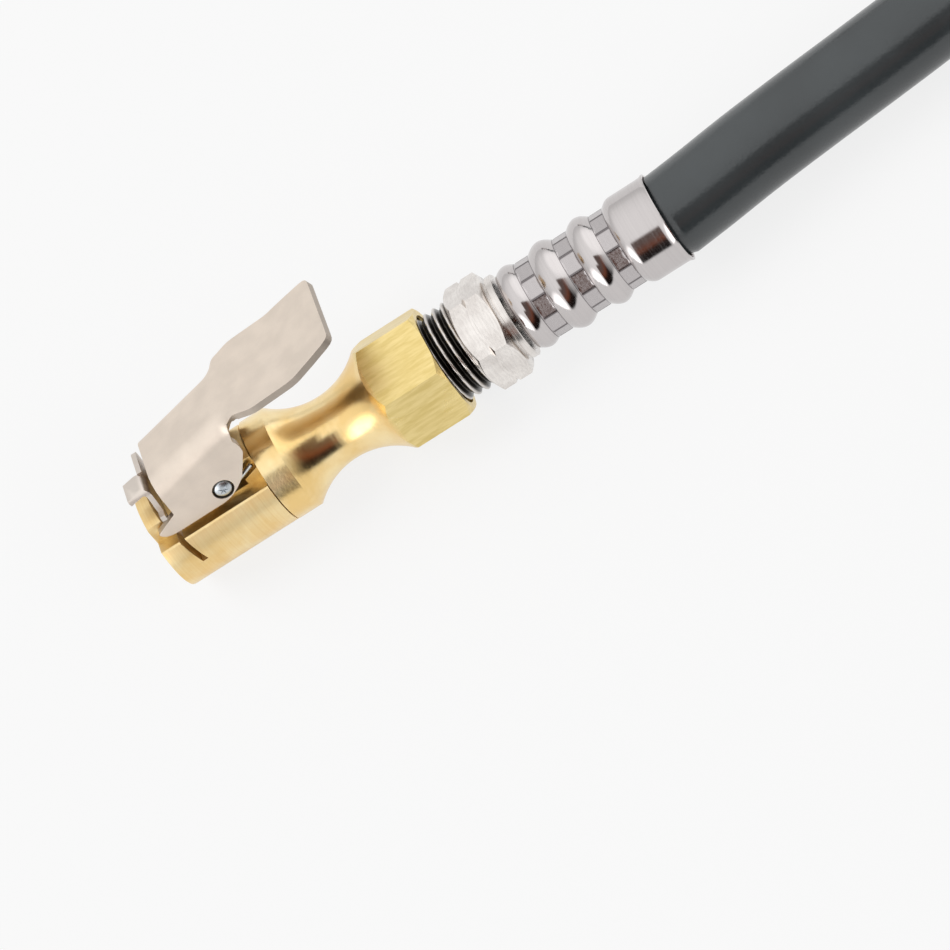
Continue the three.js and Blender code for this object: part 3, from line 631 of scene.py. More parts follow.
# %% Rubber finishes
def black_rubber(name, tint, roughness, grain_mm):
    material, tree = material_tree(name)
    shader = tree.nodes["Principled BSDF"]
    shader.inputs["IOR"].default_value = 1.62
    material.diffuse_color = colour(tint)
    place = own_place(tree)
    grain = noise(tree, place, 1 / grain_mm, 4.0)
    cover = clouded(tree, place, 0.09, 3.0, darker(tint, 0.8), colour(tint))
    rough = ranged(tree, grain, roughness - 0.06, roughness + 0.08)
    surfaced(tree, shader, cover, rough, grain, 0.02)
    return material


rubber_hose = (black_rubber("extruded_black_rubber", "#3B4042", 0.19, 0.4), "hose_rubber")
rubber_seal = (black_rubber("moulded_black_rubber", "#1C1C1C", 0.6, 0.3), "seal_rubber")

# %% [markdown]
# ## Chuck body
# The body is turned from 5/8 in hexagonal brass bar. The flange, the spool-shaped waist and the
# chamfers are one lathe profile, and the hexagon is what is left of the bar, so the profile is
# spun and then cut by a hexagonal prism.

# %% Chuck body
BAR_FLATS = 15.875
FLANGE_RADIUS = 7.9175
FLANGE_X = 18.0
WAIST_X = 29.2
BODY_END = 47.2
WAIST_ARC = 11.4
WAIST_RADIUS = 5.05
SEAT_RADIUS = 5.7
SEAT_END = 24.95
BODY_BORE = 3.2
PORT_X = 38.3
PORT_RADII = (6.85, 7.15)


def body_profile():
    corner = BAR_FLATS / 2 / math.cos(math.pi / 6)
    middle = WAIST_RADIUS + WAIST_ARC
    start = WAIST_X - math.sqrt(WAIST_ARC**2 - (middle - FLANGE_RADIUS) ** 2)
    end = WAIST_X + math.sqrt(WAIST_ARC**2 - (middle - corner) ** 2)
    profile = [(FLANGE_X, SEAT_RADIUS), (FLANGE_X, FLANGE_RADIUS), (start, FLANGE_RADIUS)]
    steps = 56
    for i in range(1, steps):
        x = start + (end - start) * i / steps
        profile.append((x, middle - math.sqrt(WAIST_ARC**2 - (x - WAIST_X) ** 2)))
    profile += [(end, corner), (BODY_END - 0.7, corner), (BODY_END, corner - 1.12)]
    profile += [(BODY_END, PORT_RADII[1]), (PORT_X, PORT_RADII[0]), (PORT_X, BODY_BORE)]
    return profile + [(SEAT_END, BODY_BORE), (SEAT_END, SEAT_RADIUS)]


def chuck_body():
    body = spun("chuck_body_turned", body_profile(), 192)
    bar = extruded("bar", polygon_round(BAR_FLATS, 6, LEVER_LEAN), 30, BODY_END + 1, end_view)
    disc = circle((0, 0), FLANGE_RADIUS * 2, 24)
    front = extruded("front", disc, FLANGE_X - 1, 30.001, end_view)
    keep = milled(bar, [front], "UNION")
    milled(body, [keep], "INTERSECT")
    return finished(body, brass_polished, "chuck", "chuck_body", CHUCK)


chuck_body()

# %% [markdown]
# ## Barrel
# The barrel is a turned brass tube with a blind socket for the valve stem. Two flats are milled
# along it for the lever's ears, and a leaning saw cut crosses it for the jaw.

# %% Barrel
BARREL_RADIUS = 7.8675
BARREL_LENGTH = 17.8
NECK_LENGTH = 6
NECK_RADIUS = 5.4
SOCKET_RADIUS = 4.2
SOCKET_DEPTH = 9.8
PIN_WAY = 1.6
CHAMBER_X = 12.4
CHAMBER_RADIUS = 3.3
PIN_HOLE = 1.25
POCKET_X = (9.85, 15.45)
PIVOT_X = 12.5
PIVOT_HEIGHT = 6.3
LEDGE_HEIGHT = 3.3
LEDGE_CHAMFER = 0.2
LAND_HALF = 4.7
SLOT_LEAN = math.tan(math.radians(12.4))
SLOT_HALF = 0.44
SLOT_X = 3.45
SLOT_FOOT = -1.2
JAW_BEND = 4.6
JAW_UPPER_LEAN = math.tan(math.radians(3))


def slot_line(height):
    """The middle of the saw cut, which leans forwards."""
    return SLOT_X - (height - LEDGE_HEIGHT) * SLOT_LEAN


def jaw_line(height):
    """Where the jaw plate stands: leaning forwards in the saw cut, then nearly upright."""
    return slot_line(min(height, JAW_BEND)) + max(0.0, height - JAW_BEND) * JAW_UPPER_LEAN


def block(name, low, high):
    (x0, y0, z0), (x1, y1, z1) = low, high
    return extruded(name, [(x0, z0), (x1, z0), (x1, z1), (x0, z1)], y0, y1, side_view)


def hole_across(name, radius, reach):
    return extruded(name, circle((PIVOT_X, PIVOT_HEIGHT), radius, 40), -reach, reach, side_view)


def barrel():
    end = BARREL_LENGTH + NECK_LENGTH
    past = BARREL_LENGTH + 0.01
    profile = [
        (0.5, SOCKET_RADIUS), (0, SOCKET_RADIUS + 0.5), (0, BARREL_RADIUS - 0.3),
        (0.12, BARREL_RADIUS - 0.08), (0.4, BARREL_RADIUS), (BARREL_LENGTH, BARREL_RADIUS),
        (BARREL_LENGTH, NECK_RADIUS), (end, NECK_RADIUS), (end, CHAMBER_RADIUS),
        (CHAMBER_X, CHAMBER_RADIUS), (CHAMBER_X, PIN_WAY), (SOCKET_DEPTH, PIN_WAY),
        (SOCKET_DEPTH, SOCKET_RADIUS),
    ]
    turned = spun("barrel_turned", profile, 192)
    tools = []
    for side in (-1, 1):
        y = sorted((side * LAND_HALF, side * 20))
        tools.append(block("flat", (-1, y[0], LEDGE_HEIGHT), (past, y[1], 20)))
        inner = math.sqrt(BARREL_RADIUS**2 - LEDGE_HEIGHT**2) - LEDGE_CHAMFER
        outer = math.sqrt(BARREL_RADIUS**2 - (LEDGE_HEIGHT - LEDGE_CHAMFER) ** 2)
        corner = [
            (side * inner, LEDGE_HEIGHT), (side * outer, LEDGE_HEIGHT - LEDGE_CHAMFER),
            (side * 9, LEDGE_HEIGHT - LEDGE_CHAMFER), (side * 9, 4), (side * inner, 4),
        ]
        tools.append(extruded("chamfer", corner, -1, past, end_view))
    cut = [(slot_line(z) - SLOT_HALF, z) for z in (SLOT_FOOT, 20)]
    cut += [(jaw_line(z) + SLOT_HALF, z) for z in (20, JAW_BEND, SLOT_FOOT)]
    tools.append(extruded("slot", cut, -20, 20, side_view))
    tools.append(hole_across("pin_hole", PIN_HOLE, 20))
    for side in (-1, 1):
        y = sorted((side * 0.87, side * 9.4))
        tools.append(block("pocket", (POCKET_X[0], y[0], 3.65), (POCKET_X[1], y[1], 16)))
        y = sorted((side * 3.7, side * 9.4))
        shelf = [(PIVOT_X, 3.55), (past, 5.37), (past, 16), (PIVOT_X, 16)]
        tools.append(extruded("shelf", shelf, y[0], y[1], side_view))
    milled(turned, tools)
    return finished(turned, brass_satin, "chuck", "chuck_barrel", CHUCK, 0.1)


barrel()

# %% [markdown]
# ## Thumb lever
# The lever is one piece of sheet, pressed to shape: two ears bent down beside the barrel, and a
# flat paddle behind them. It is drawn as it lay before bending, as a flat outline, filled with
# triangles, and each point is then carried to its place on the bent sheet. Solidify gives the
# sheet its thickness.

# %% Lever sizes
SHEET = 1.15
LEVER_HALF = 6.15
BEND = 2.9
FLAT_HALF = LEVER_HALF - BEND
FOLD_LENGTH = BEND * math.pi / 2
PLATE_FRONT = (4.95, 13.3)
PLATE_SLOPE = 0.25
PLATE_TILT = math.atan(PLATE_SLOPE)
PADDLE_SLOPE = 0.05
TIP_SLOPE = 0.29
PADDLE_X = 19.0
TIP_X = 30.0
FOLD_ENDS = (17.4, 20.6)
EAR_HOLE = 1.6


def smooth_step(a, b, x):
    t = min(1.0, max(0.0, (x - a) / (b - a)))
    return t * t * (3 - 2 * t)


def plate_height(x):
    """The plate's height over the axis: three straight runs with soft bends between them."""
    def run(x, start, slope, soft=0.9):
        over = x - start
        if over <= -soft:
            return 0.0
        if over >= soft:
            return slope * over
        return slope * (over + soft) ** 2 / (4 * soft)
    base = PLATE_FRONT[1] + PLATE_SLOPE * (x - PLATE_FRONT[0])
    level_off = run(x, PADDLE_X, PADDLE_SLOPE - PLATE_SLOPE)
    return base + level_off + run(x, TIP_X, TIP_SLOPE - PADDLE_SLOPE)


def on_sheet(x, z):
    """Where a point (x, z) of an ear lies on the flat pattern."""
    drop = (PLATE_FRONT[1] + PLATE_SLOPE * (x - PLATE_FRONT[0]) - z) * math.cos(PLATE_TILT)
    along = x - math.sin(PLATE_TILT) * drop
    if drop >= BEND:
        return (along, FLAT_HALF + FOLD_LENGTH + drop - BEND)
    return (along, FLAT_HALF + BEND * math.acos(1 - max(drop, 0) / BEND))


def bent(along, across):
    """A point of the flat pattern on the outside of the bent sheet."""
    fold = 1 - smooth_step(*FOLD_ENDS, along)
    over = max(0.0, abs(across) - FLAT_HALF)
    in_bend = min(over, FOLD_LENGTH)
    angle = in_bend / BEND * fold
    if angle > 1e-6:
        out = in_bend * math.sin(angle) / angle
        drop = in_bend * (1 - math.cos(angle)) / angle
    else:
        out, drop = in_bend, 0.0
    rest = over - in_bend
    out += rest * math.cos(angle)
    drop += rest * math.sin(angle)
    side = math.copysign(min(abs(across), FLAT_HALF) + out, across)
    return (
        along + math.sin(PLATE_TILT) * drop,
        side,
        plate_height(along) - math.cos(PLATE_TILT) * drop,
    )


# %% Lever outline
def quadratic(start, control, end, steps=6):
    found = []
    for i in range(1, steps + 1):
        t = i / steps
        a, b, c = (1 - t) ** 2, 2 * t * (1 - t), t * t
        found.append(tuple(a * s + b * k + c * e for s, k, e in zip(start, control, end)))
    return found


def ear_outline():
    """The ear from the plate's front edge round the nose to the notch behind it, as (x, z)."""
    points = [(4.94, 13.1), (4.93, 12.5), (4.91, 11.6), (4.89, 10.4), (4.85, 8.6), (4.8, 7.2)]
    points += [(1.6, 5.72), (1.4, 5.58)]
    points += quadratic((1.4, 5.58), (1.05, 5.25), (2.05, 4.55))
    points += quadratic((2.05, 4.55), (2.85, 4.2), (4.05, 4.2))
    points += [(8.0, 4.2), (11.4, 4.2)]
    points += quadratic((11.4, 4.2), (13.5, 4.3), (15.8, 6.5))
    points += [(17.0, 8.3), (18.1, 10.0)]
    points += quadratic((18.1, 10.0), (18.4, 11.3), (17.9, 12.5))
    points += [(18.1, 13.3), (18.45, 14.3), (18.9, 15.2)]
    return points


def sheet_outline():
    """Half of the flat pattern's edge, from the plate's front to the tail's middle."""
    ear = [on_sheet(x, z) for x, z in ear_outline()]
    paddle = [
        (19.5, 6.55), (20.3, 6.7), (21.3, 7.05), (22.5, 7.6), (23.3, 7.83), (24.2, 7.9),
        (27.5, 7.9), (31.0, 7.9), (33.7, 7.65), (36.4, 7.3), (37.2, 7.08), (37.6, 6.75),
        (37.78, 6.2), (37.8, 5.4),
    ]
    return [(PLATE_FRONT[0], 0.0), (PLATE_FRONT[0], 2.0), (PLATE_FRONT[0], FLAT_HALF), *ear, *paddle]


# %% Thumb lever
def finely(points, step):
    """The same closed line with no side longer than step."""
    found = []
    for a, b in zip(points, points[1:] + points[:1]):
        count = max(1, math.ceil(math.dist(a, b) / step))
        found += [(a[0] + (b[0] - a[0]) * i / count, a[1] + (b[1] - a[1]) * i / count)
                  for i in range(count)]
    return found


def inside(point, loop):
    x, y = point
    hit = False
    for (ax, ay), (bx, by) in zip(loop, loop[1:] + loop[:1]):
        if (ay > y) != (by > y) and x < (bx - ax) * (y - ay) / (by - ay) + ax:
            hit = not hit
    return hit


def far_from(point, loop, room):
    return all(math.dist(point, q) > room for q in loop)


EDGE_STEP = 0.45
GRID = (0.55, 0.5)
GRID_ROOM = 0.3


def thumb_lever():
    half = sheet_outline()
    loop = finely(half + [(x, -y) for x, y in reversed(half[1:])], EDGE_STEP)
    hole = [on_sheet(x, z) for x, z in circle((PIVOT_X, PIVOT_HEIGHT), EAR_HOLE, 28)]
    holes = [[(x, side * w) for x, w in hole] for side in (-1, 1)]

    def in_sheet(spot):
        return inside(spot, loop) and not any(inside(spot, h) for h in holes)

    points = loop + holes[0] + holes[1]
    edges, start = [], 0
    for ring in (loop, *holes):
        count = len(ring)
        edges += [(start + i, start + (i + 1) % count) for i in range(count)]
        start += count
    for x in np.arange(0.6, 38, GRID[0]):
        for y in np.arange(-13.75, 14, GRID[1]):
            spot = (float(x), float(y))
            if in_sheet(spot) and all(far_from(spot, ring, GRID_ROOM) for ring in (loop, *holes)):
                points.append(spot)
    found = delaunay_2d_cdt([Vector(p) for p in points], edges, [], 1, 1e-5)
    flat, faces = found[0], found[2]
    middles = [sum((flat[i] for i in face), Vector((0, 0))) / len(face) for face in faces]
    kept = [tuple(face) for face, middle in zip(faces, middles) if in_sheet(middle)]
    lever = mesh_object("thumb_lever_pressed", [bent(p.x, p.y) for p in flat], kept)
    top = max(lever.data.polygons, key=lambda f: f.center.z)
    if top.normal.z < 0:
        lever.data.flip_normals()
    sheet = lever.modifiers.new("sheet", "SOLIDIFY")
    sheet.thickness = SHEET * MM
    sheet.offset = -1
    sheet.use_even_offset = False
    mesh = applied(lever)
    # The cut faces are marked here for their painted shade.
    both_faces = 2 * len(kept)
    sheared = mesh.attributes.new("sheared_edge", "FLOAT", "FACE")
    sheared.data.foreach_set("value", [float(i >= both_faces) for i in range(len(mesh.polygons))])
    return finished(lever, nickel_satin, "lever", "thumb_lever", CHUCK, 0.16, 45)


thumb_lever()

# %% [markdown]
# ## Jaw plate
# The jaw is a strip with a notch that bites on the stem's thread, and a tab bent forwards at its
# top. It is drawn as its middle line from the side, given its thickness, and then cut to its
# front view: round top corners, two lugs over the lever's noses, and the notch.

# %% Jaw plate
JAW_SHEET = 0.75
JAW_TOP = 12.4
JAW_HALF = 4.7
LUG_LOW = 7.05
LUG_REACH = 6.0
TAB_END = 0.62
TAB_SIDE = -0.6
TAB_BEND = 0.9
TAB_FALL = 10.9
LUG_HEIGHT = 0.9
JAW_CORNER = 1.1
BITE_RADIUS = 3.6


def strip(path, half):
    """The closed outline of a bent strip along a line of points."""
    left, right = [], []
    for i, point in enumerate(path):
        before, after = path[max(i - 1, 0)], path[min(i + 1, len(path) - 1)]
        way = (Vector(after) - Vector(before)).normalized() * half
        left.append((point[0] - way.y, point[1] + way.x))
        right.append((point[0] + way.y, point[1] - way.x))
    return left + right[::-1]


def jaw_plate():
    half = JAW_SHEET / 2
    foot = [(jaw_line(z), z) for z in (-0.7, JAW_BEND - 0.4, JAW_BEND, JAW_BEND + 0.4)]
    upright = foot + [(jaw_line(z), z) for z in (8.0, JAW_TOP)]
    middle = (jaw_line(JAW_TOP) - TAB_BEND, JAW_TOP - half - TAB_BEND)
    curl = arc(middle, TAB_BEND, math.radians(-3), math.radians(90 + TAB_FALL), 12)
    fall = math.tan(math.radians(TAB_FALL))
    tab = (TAB_END, curl[-1][1] - (curl[-1][0] - TAB_END) * fall)
    jaw = extruded("jaw_plate_pressed", strip(upright, half), -LUG_REACH, LUG_REACH, side_view)
    bent_off = strip(foot + curl + [tab], half)
    tabbed = extruded("tabbed", bent_off, -LUG_REACH, TAB_SIDE, side_view)
    spare = block("spare", (-3, -9, JAW_TOP - 3), (9, TAB_SIDE, 20))
    milled(jaw, [spare])
    milled(jaw, [tabbed], "UNION")
    face = [(-JAW_HALF, -2), (JAW_HALF, -2)]
    lug_top = LUG_LOW + LUG_HEIGHT
    lug = [(JAW_HALF, LUG_LOW), (LUG_REACH, LUG_LOW), (LUG_REACH, lug_top), (JAW_HALF, lug_top)]
    centre = (JAW_HALF - JAW_CORNER, JAW_TOP - JAW_CORNER)
    side_edge = lug + arc(centre, JAW_CORNER, 0, math.pi / 2, 7)
    face += side_edge + [(-y, z) for y, z in reversed(side_edge)]
    keep = extruded("keep", face, -3, 9, end_view)
    milled(jaw, [keep], "INTERSECT")
    bite = arc((0, 0), BITE_RADIUS, 0, math.pi, 33) + [(-BITE_RADIUS, -3), (BITE_RADIUS, -3)]
    milled(jaw, [extruded("bite", bite, -3, 9, end_view)])
    return finished(jaw, nickel_jaw, "jaw", "jaw_plate", CHUCK, 0.1, 40)


jaw_plate()

# %% [markdown]
# ## Pivot pin
# A zinc plated rivet through both ears. Its ends are struck with a small star, which spreads
# them in their holes.


# %% Pivot pin
def pivot_pin():
    head = [(6.25, 0), (6.24, 0.5), (6.17, 0.95), (6.05, 1.2), (5.9, 1.3), (5.2, 1.3), (5.2, 0.95)]
    profile = [(-x, radius) for x, radius in head] + head[::-1]
    pin = spun("pivot_pin_struck", profile, 48)
    tools = []
    for side in (-1, 1):
        for turn in (0.5, 0.5 + math.pi / 3, 0.5 + 2 * math.pi / 3):
            arm = [(-0.8, 0), (0, -0.13), (0.8, 0), (0, 0.13)]
            spun_arm = [(a * math.cos(turn) - b * math.sin(turn),
                         a * math.sin(turn) + b * math.cos(turn)) for a, b in arm]
            low, high = sorted((side * 6.0, side * 7))
            tools.append(extruded("strike", spun_arm, low, high, end_view))
    milled(pin, tools)
    across = Matrix.Translation(Vector((PIVOT_X, 0, PIVOT_HEIGHT)) * MM)
    turned = across @ Matrix.Rotation(math.radians(90), 4, "Z")
    return finished(pin, zinc_bright, "chuck", "pivot_pin", CHUCK @ turned, 0.04)


pivot_pin()

# %% [markdown]
# ## Round tubes
# The spring, the hose and any wire are tubes along a line. A frame that turns as little as it can
# is carried from point to point, so that the tube doesn't twist.


# %% Tubes
def tube(name, line, tangents, radii, sides, bore=None):
    """A closed tube along a line. radii is one radius for each point; bore makes it hollow."""
    normal = tangents[0].orthogonal().normalized()
    outer, inner = [], []
    for point, tangent, radius in zip(line, tangents, radii):
        normal = (normal - tangent * normal.dot(tangent)).normalized()
        side = tangent.cross(normal)
        for k in range(sides):
            a = 2 * math.pi * k / sides
            ray = normal * math.cos(a) + side * math.sin(a)
            outer.append(tuple(point + ray * radius))
            inner.append(tuple(point + ray * (bore or 0)))
    count = len(line)
    faces = []

    def skin(first, flip):
        for i in range(count - 1):
            for k in range(sides):
                a, b = first + i * sides + k, first + i * sides + (k + 1) % sides
                quad = (a, b, b + sides, a + sides)
                faces.append(quad[::-1] if flip else quad)

    skin(0, False)
    if bore:
        start = len(outer)
        skin(start, True)
        for i in (0, count - 1):
            for k in range(sides):
                a, b = i * sides + k, i * sides + (k + 1) % sides
                quad = (a, b, start + b, start + a)
                faces.append(quad if i else quad[::-1])
        return mesh_object(name, outer + inner, faces)
    faces.append(tuple(range(sides))[::-1])
    faces.append(tuple(range((count - 1) * sides, count * sides)))
    return mesh_object(name, outer, faces)


# %% [markdown]
# ## Lever spring
# A double torsion spring sits round the pin in two pockets. Its two lower legs rest on the barrel
# and the bridge between the coils pushes the plate up from below.

# %% Lever spring
SPRING_WIRE = 0.7
SPRING_COIL = 2.0
SPRING_FOOT = (17.4, 6.05)
SPRING_SIDE = 4.35
BRIDGE_ANGLE = 55


def lever_spring_line():
    rise = math.atan2(SPRING_FOOT[1] - (PIVOT_HEIGHT - SPRING_COIL), SPRING_FOOT[0] - PIVOT_X)
    leg = math.degrees(rise)
    sweep = 720 + (270 + leg) - (90 + BRIDGE_ANGLE)
    travel = 1.14 * sweep / 360
    half = [(SPRING_FOOT[0], -SPRING_SIDE, SPRING_FOOT[1])]
    steps = round(sweep / 360 * 8)
    for i in range(steps + 1):
        a = math.radians(270 + leg - sweep * i / steps)
        half.append((
            PIVOT_X + SPRING_COIL * math.cos(a),
            -SPRING_SIDE + travel * i / steps,
            PIVOT_HEIGHT + SPRING_COIL * math.sin(a),
        ))
    x, y, z = half[-1]
    slope = math.radians(BRIDGE_ANGLE)
    under = plate_height(PIVOT_X + 2) - SHEET - SPRING_WIRE / 2 - 0.3
    length = (under - z) / math.sin(slope)
    for share, inward in ((0.5, 0), (0.93, 0), (1, 0.5)):
        reach = length * share
        half.append((x + reach * math.cos(slope), y + inward, z + reach * math.sin(slope)))
    return half + [(p[0], -p[1], p[2]) for p in reversed(half)]


spring_line, spring_tangents = through(lever_spring_line(), 3)
spring = tube("lever_spring_wound", spring_line, spring_tangents,
              [SPRING_WIRE / 2] * len(spring_line), 10)
finished(spring, steel_wire, None, "lever_spring", CHUCK, 0, 60)
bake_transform(spring)

# %% [markdown]
# ## Check valve
# Inside the socket a rubber washer seals on the stem, and a brass pin in its middle pushes the
# tyre's valve open. Behind them a sprung poppet shuts the chuck while it is off the tyre. Only
# the washer and the pin's tip can be seen from outside.

# %% Check valve
VALVE = [
    ("face_seal", "moulded", "chuck", rubber_seal, 96, 0.05, [
        (7.7, 1.85), (7.7, 3.7), (7.9, 3.9), (9.5, 3.9), (9.5, 1.7), (7.85, 1.7),
    ]),
    ("depressor_pin", "turned", "plunger", brass_satin, 64, 0.04, [
        (6.9, 0), (6.9, 0.55), (7.1, 0.75), (13.8, 0.75), (13.8, 2.8), (14.9, 2.8), (14.9, 0.9),
        (18.8, 0.9), (19.0, 0.75), (19.0, 0),
    ]),
    ("poppet_seal", "moulded", "plunger", rubber_seal, 64, 0.04, [
        (12.65, 1.1), (12.6, 1.2), (12.6, 2.7), (12.7, 2.8), (13.5, 2.8), (13.5, 1.1),
    ]),
    ("spring_retainer", "turned", "chuck", brass_satin, 64, 0.04, [
        (21.6, 1.3), (21.6, 2.85), (21.75, 3.0), (22.75, 3.0), (22.75, 1.45), (22.6, 1.3),
    ]),
    ("barrel_washer", "cut", "chuck", rubber_seal, 64, 0.04, [
        (24.0, 3.5), (24.0, 5.4), (24.6, 5.4), (24.6, 3.5),
    ]),
]
for node, way, body, finish, sides, edge, profile in VALVE:
    finished(spun(f"{node}_{way}", profile, sides), finish, body, node, CHUCK, edge)

VALVE_WIRE = 0.22
VALVE_COIL = 2.05
VALVE_TURNS = 5
VALVE_SPRING_X = 15.42
VALVE_SPRING_LENGTH = 5.66


def valve_spring():
    """A closed-end compression spring between the poppet and the retainer."""
    count = 120
    line = []
    for i in range(count + 1):
        turn = VALVE_TURNS * i / count
        x = VALVE_SPRING_X + VALVE_SPRING_LENGTH * smooth_step(-0.08, 1.08, turn / VALVE_TURNS)
        a = 2 * math.pi * turn
        line.append(Vector((x, VALVE_COIL * math.cos(a), VALVE_COIL * math.sin(a))))
    tangents = [(b - a).normalized() for a, b in zip(line, line[1:])]
    tangents.append(tangents[-1])
    wound = tube("poppet_spring_wound", line, tangents, [VALVE_WIRE] * len(line), 10)
    finished(wound, steel_wire, "chuck", "poppet_spring", CHUCK, 0, 60)
    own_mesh(wound)


valve_spring()

# %% [markdown]
# ## Threaded fittings
# Each end of the hose has the same fitting: a taper pipe thread, a hexagon, a shoulder and a
# barbed tail inside the hose. The thread is a true helix: its radius depends on how far a point
# lies along the axis, less the share of a turn it lies round it.

# %% Thread
PITCH = 1.411
THREAD_LENGTH = 13.0
THREAD_ROOT = 6.15
THREAD_CREST = 6.85
FITTING_BORE = 1.6


def thread_radius(x, angle):
    """A truncated V thread that fades out at the tip and runs into the hexagon."""
    turn = (x / PITCH - angle / (2 * math.pi)) % 1
    wave = 1 - abs(2 * turn - 1)
    tooth = min(1.0, max(0.0, (wave - 0.12) / 0.74))
    narrow = THREAD_NARROWING * -x
    tip = smooth_step(-THREAD_LENGTH, -THREAD_LENGTH + 0.9, x)
    height = (THREAD_CREST - THREAD_ROOT) * tooth * (0.15 + 0.85 * tip)
    return THREAD_ROOT - narrow + height - 0.25 * (1 - tip)


def thread(name):
    rows = [-THREAD_LENGTH + THREAD_LENGTH * i / 184 for i in range(185)]
    profile = [(-THREAD_LENGTH, FITTING_BORE), *((x, None) for x in rows), (0, FITTING_BORE)]
    return spun(name, profile, 96, thread_radius)


# %% [markdown]
# The hexagon is chamfered at both ends, and a shallow groove nicks its six corners half way, the
# mark by which fitters know a part made to a metric or an inch size.


# %% Fitting
FITTING_FLATS = 14.29
CHAMFER = 0.66
HEXAGON_LENGTH = 5.8
TAIL_RADIUS = 2.5
TAIL_END = 26.3
BARB_RADIUS = 2.85
BARB_LENGTH = 3.3
BARBS = (10.8, 15.3, 19.8)


def fitting_hexagon(name):
    corner = FITTING_FLATS / 2 / math.cos(math.pi / 6)
    face = FITTING_FLATS / 2 - 0.05
    rim = corner + 0.01
    profile = [
        (0, FITTING_BORE), (0, face), (CHAMFER, rim), (2.55, rim), (2.9, corner - 0.5), (3.25, rim),
        (HEXAGON_LENGTH - CHAMFER, rim), (HEXAGON_LENGTH, face), (HEXAGON_LENGTH, FITTING_BORE),
    ]
    blank = spun(name, profile, 144)
    bar = extruded("bar", polygon_round(FITTING_FLATS, 6), -1, 7, end_view)
    return milled(blank, [bar], "INTERSECT")


def joined(first, *others):
    """One object that holds the meshes of several."""
    whole = bmesh.new()
    for part in (first, *others):
        whole.from_mesh(part.data)
    whole.to_mesh(first.data)
    whole.free()
    for part in others:
        bpy.data.objects.remove(part)
    return first


def fitting(name, node, frame_of):
    shape = fitting_hexagon(name)
    start = HEXAGON_LENGTH + 0.01
    profile = [
        (start, FITTING_BORE), (start, 5.9), (6.3, 5.9), (6.3, 6.45), (6.4, 6.55), (7.2, 6.55),
        (7.3, 6.45), (7.3, TAIL_RADIUS),
    ]
    for x in BARBS:
        profile += [(x, TAIL_RADIUS), (x, BARB_RADIUS), (x + BARB_LENGTH, TAIL_RADIUS)]
    profile += [(TAIL_END, TAIL_RADIUS), (TAIL_END, FITTING_BORE)]
    joined(shape, thread("thread"), spun("collar", profile, 96))
    return finished(shape, steel_plated, "chuck", node, frame_of, 0.06, 32)


fitting("near_fitting_turned", "hose_nipple", NEAR_FITTING)
far_fitting = fitting("far_fitting_turned", "end_fitting", FAR_FITTING)

# %% [markdown]
# ## Crimped ferrules
# A ferrule starts as a plain tube. A crimping tool with twelve jaws squeezes three bands of it
# onto the hose. The metal is flat where a jaw has pressed, and swells round between the bands,
# so its radius is whichever is larger, the flat's or the swelling's.

# %% Ferrule
BANDS = (4.3, 10.6, 16.6)
BAND_FLATS = 11.5
BAND_REACH = 1.05
SWELLS = ((-0.35, 3.65, 6.5), (4.95, 9.95, 6.85), (11.25, 15.95, 6.85))
ROOT = 5.5
SKIRT = 6.75
SKIRT_RISE = (17.2, 19.2)
JAW_STEP = math.pi / 6


def swell_radius(x):
    for start, end, top in SWELLS:
        if start < x < end:
            return ROOT + (top - ROOT) * math.sin(math.pi * (x - start) / (end - start))
    start, end = SKIRT_RISE
    if x > start:
        return ROOT + (SKIRT - ROOT) * math.sin(math.pi / 2 * min(1, (x - start) / (end - start)))
    return ROOT


def ferrule_radius(x, angle):
    swell = swell_radius(x)
    if min(abs(x - band) for band in BANDS) > BAND_REACH:
        return swell
    off = (angle + JAW_STEP / 2) % JAW_STEP - JAW_STEP / 2
    return max(swell, BAND_FLATS / 2 / math.cos(off))


def ferrule_rows():
    """Places along the ferrule, close together where its shape turns."""
    rows = set(np.linspace(0, 23.6, 140).round(3))
    for band in BANDS:
        rows -= {x for x in rows if abs(abs(x - band) - BAND_REACH) < 0.06}
        for off in (BAND_REACH - 0.01, BAND_REACH + 0.01):
            rows |= {round(band - off, 3), round(band + off, 3)}
    return sorted(rows)


def ferrule(name, node, frame_of):
    outer = [(float(x), None) for x in ferrule_rows()]
    lip = [(23.9, SKIRT), (24.3, 6.8), (24.65, 6.95), (24.8, 6.93), (24.8, 6.6)]
    inner = [(23.9, 6.4), (19.2, 6.35), (17.2, 5.3), (0, 5.3)]
    shell = spun(name, outer + lip + inner, 192, ferrule_radius)
    return finished(shell, chrome_bright, "chuck", node, frame_of, 0.05, 22)


ferrule("near_ferrule_crimped", "hose_ferrule", NEAR_FERRULE)
far_ferrule = ferrule("far_ferrule_crimped", "end_ferrule", FAR_FERRULE)

# %% [markdown]
# ## Hose
# The hose is a real tube with its bore, held at both ends inside its ferrules, where the crimp
# squeezes it thinner.


# %% Hose
CRIMPED = [4.7, 4.7, 5.95, 5.95]
CRIMP_DEPTHS = [FERRULE_LENGTH - 0.3, 7.8, 5.2, 0.05]


def hose():
    start, first = Vector(HOSE_POINTS[0]), Vector((1, 0, 0))
    end, last = Vector(HOSE_POINTS[-1]), FAR_DIRECTION
    line = [start - first * d for d in CRIMP_DEPTHS] + hose_line[1:-1]
    line += [end + last * d for d in reversed(CRIMP_DEPTHS)]
    tangents = [first] * len(CRIMPED) + hose_tangents[1:-1] + [last] * len(CRIMPED)
    radii = CRIMPED + [HOSE_RADIUS] * (len(line) - 2 * len(CRIMPED)) + CRIMPED[::-1]
    made = tube("hose_rubber", line, tangents, radii, 64, HOSE_BORE)
    finished(made, rubber_hose, "chuck", "hose", None, 0, 50)


hose()

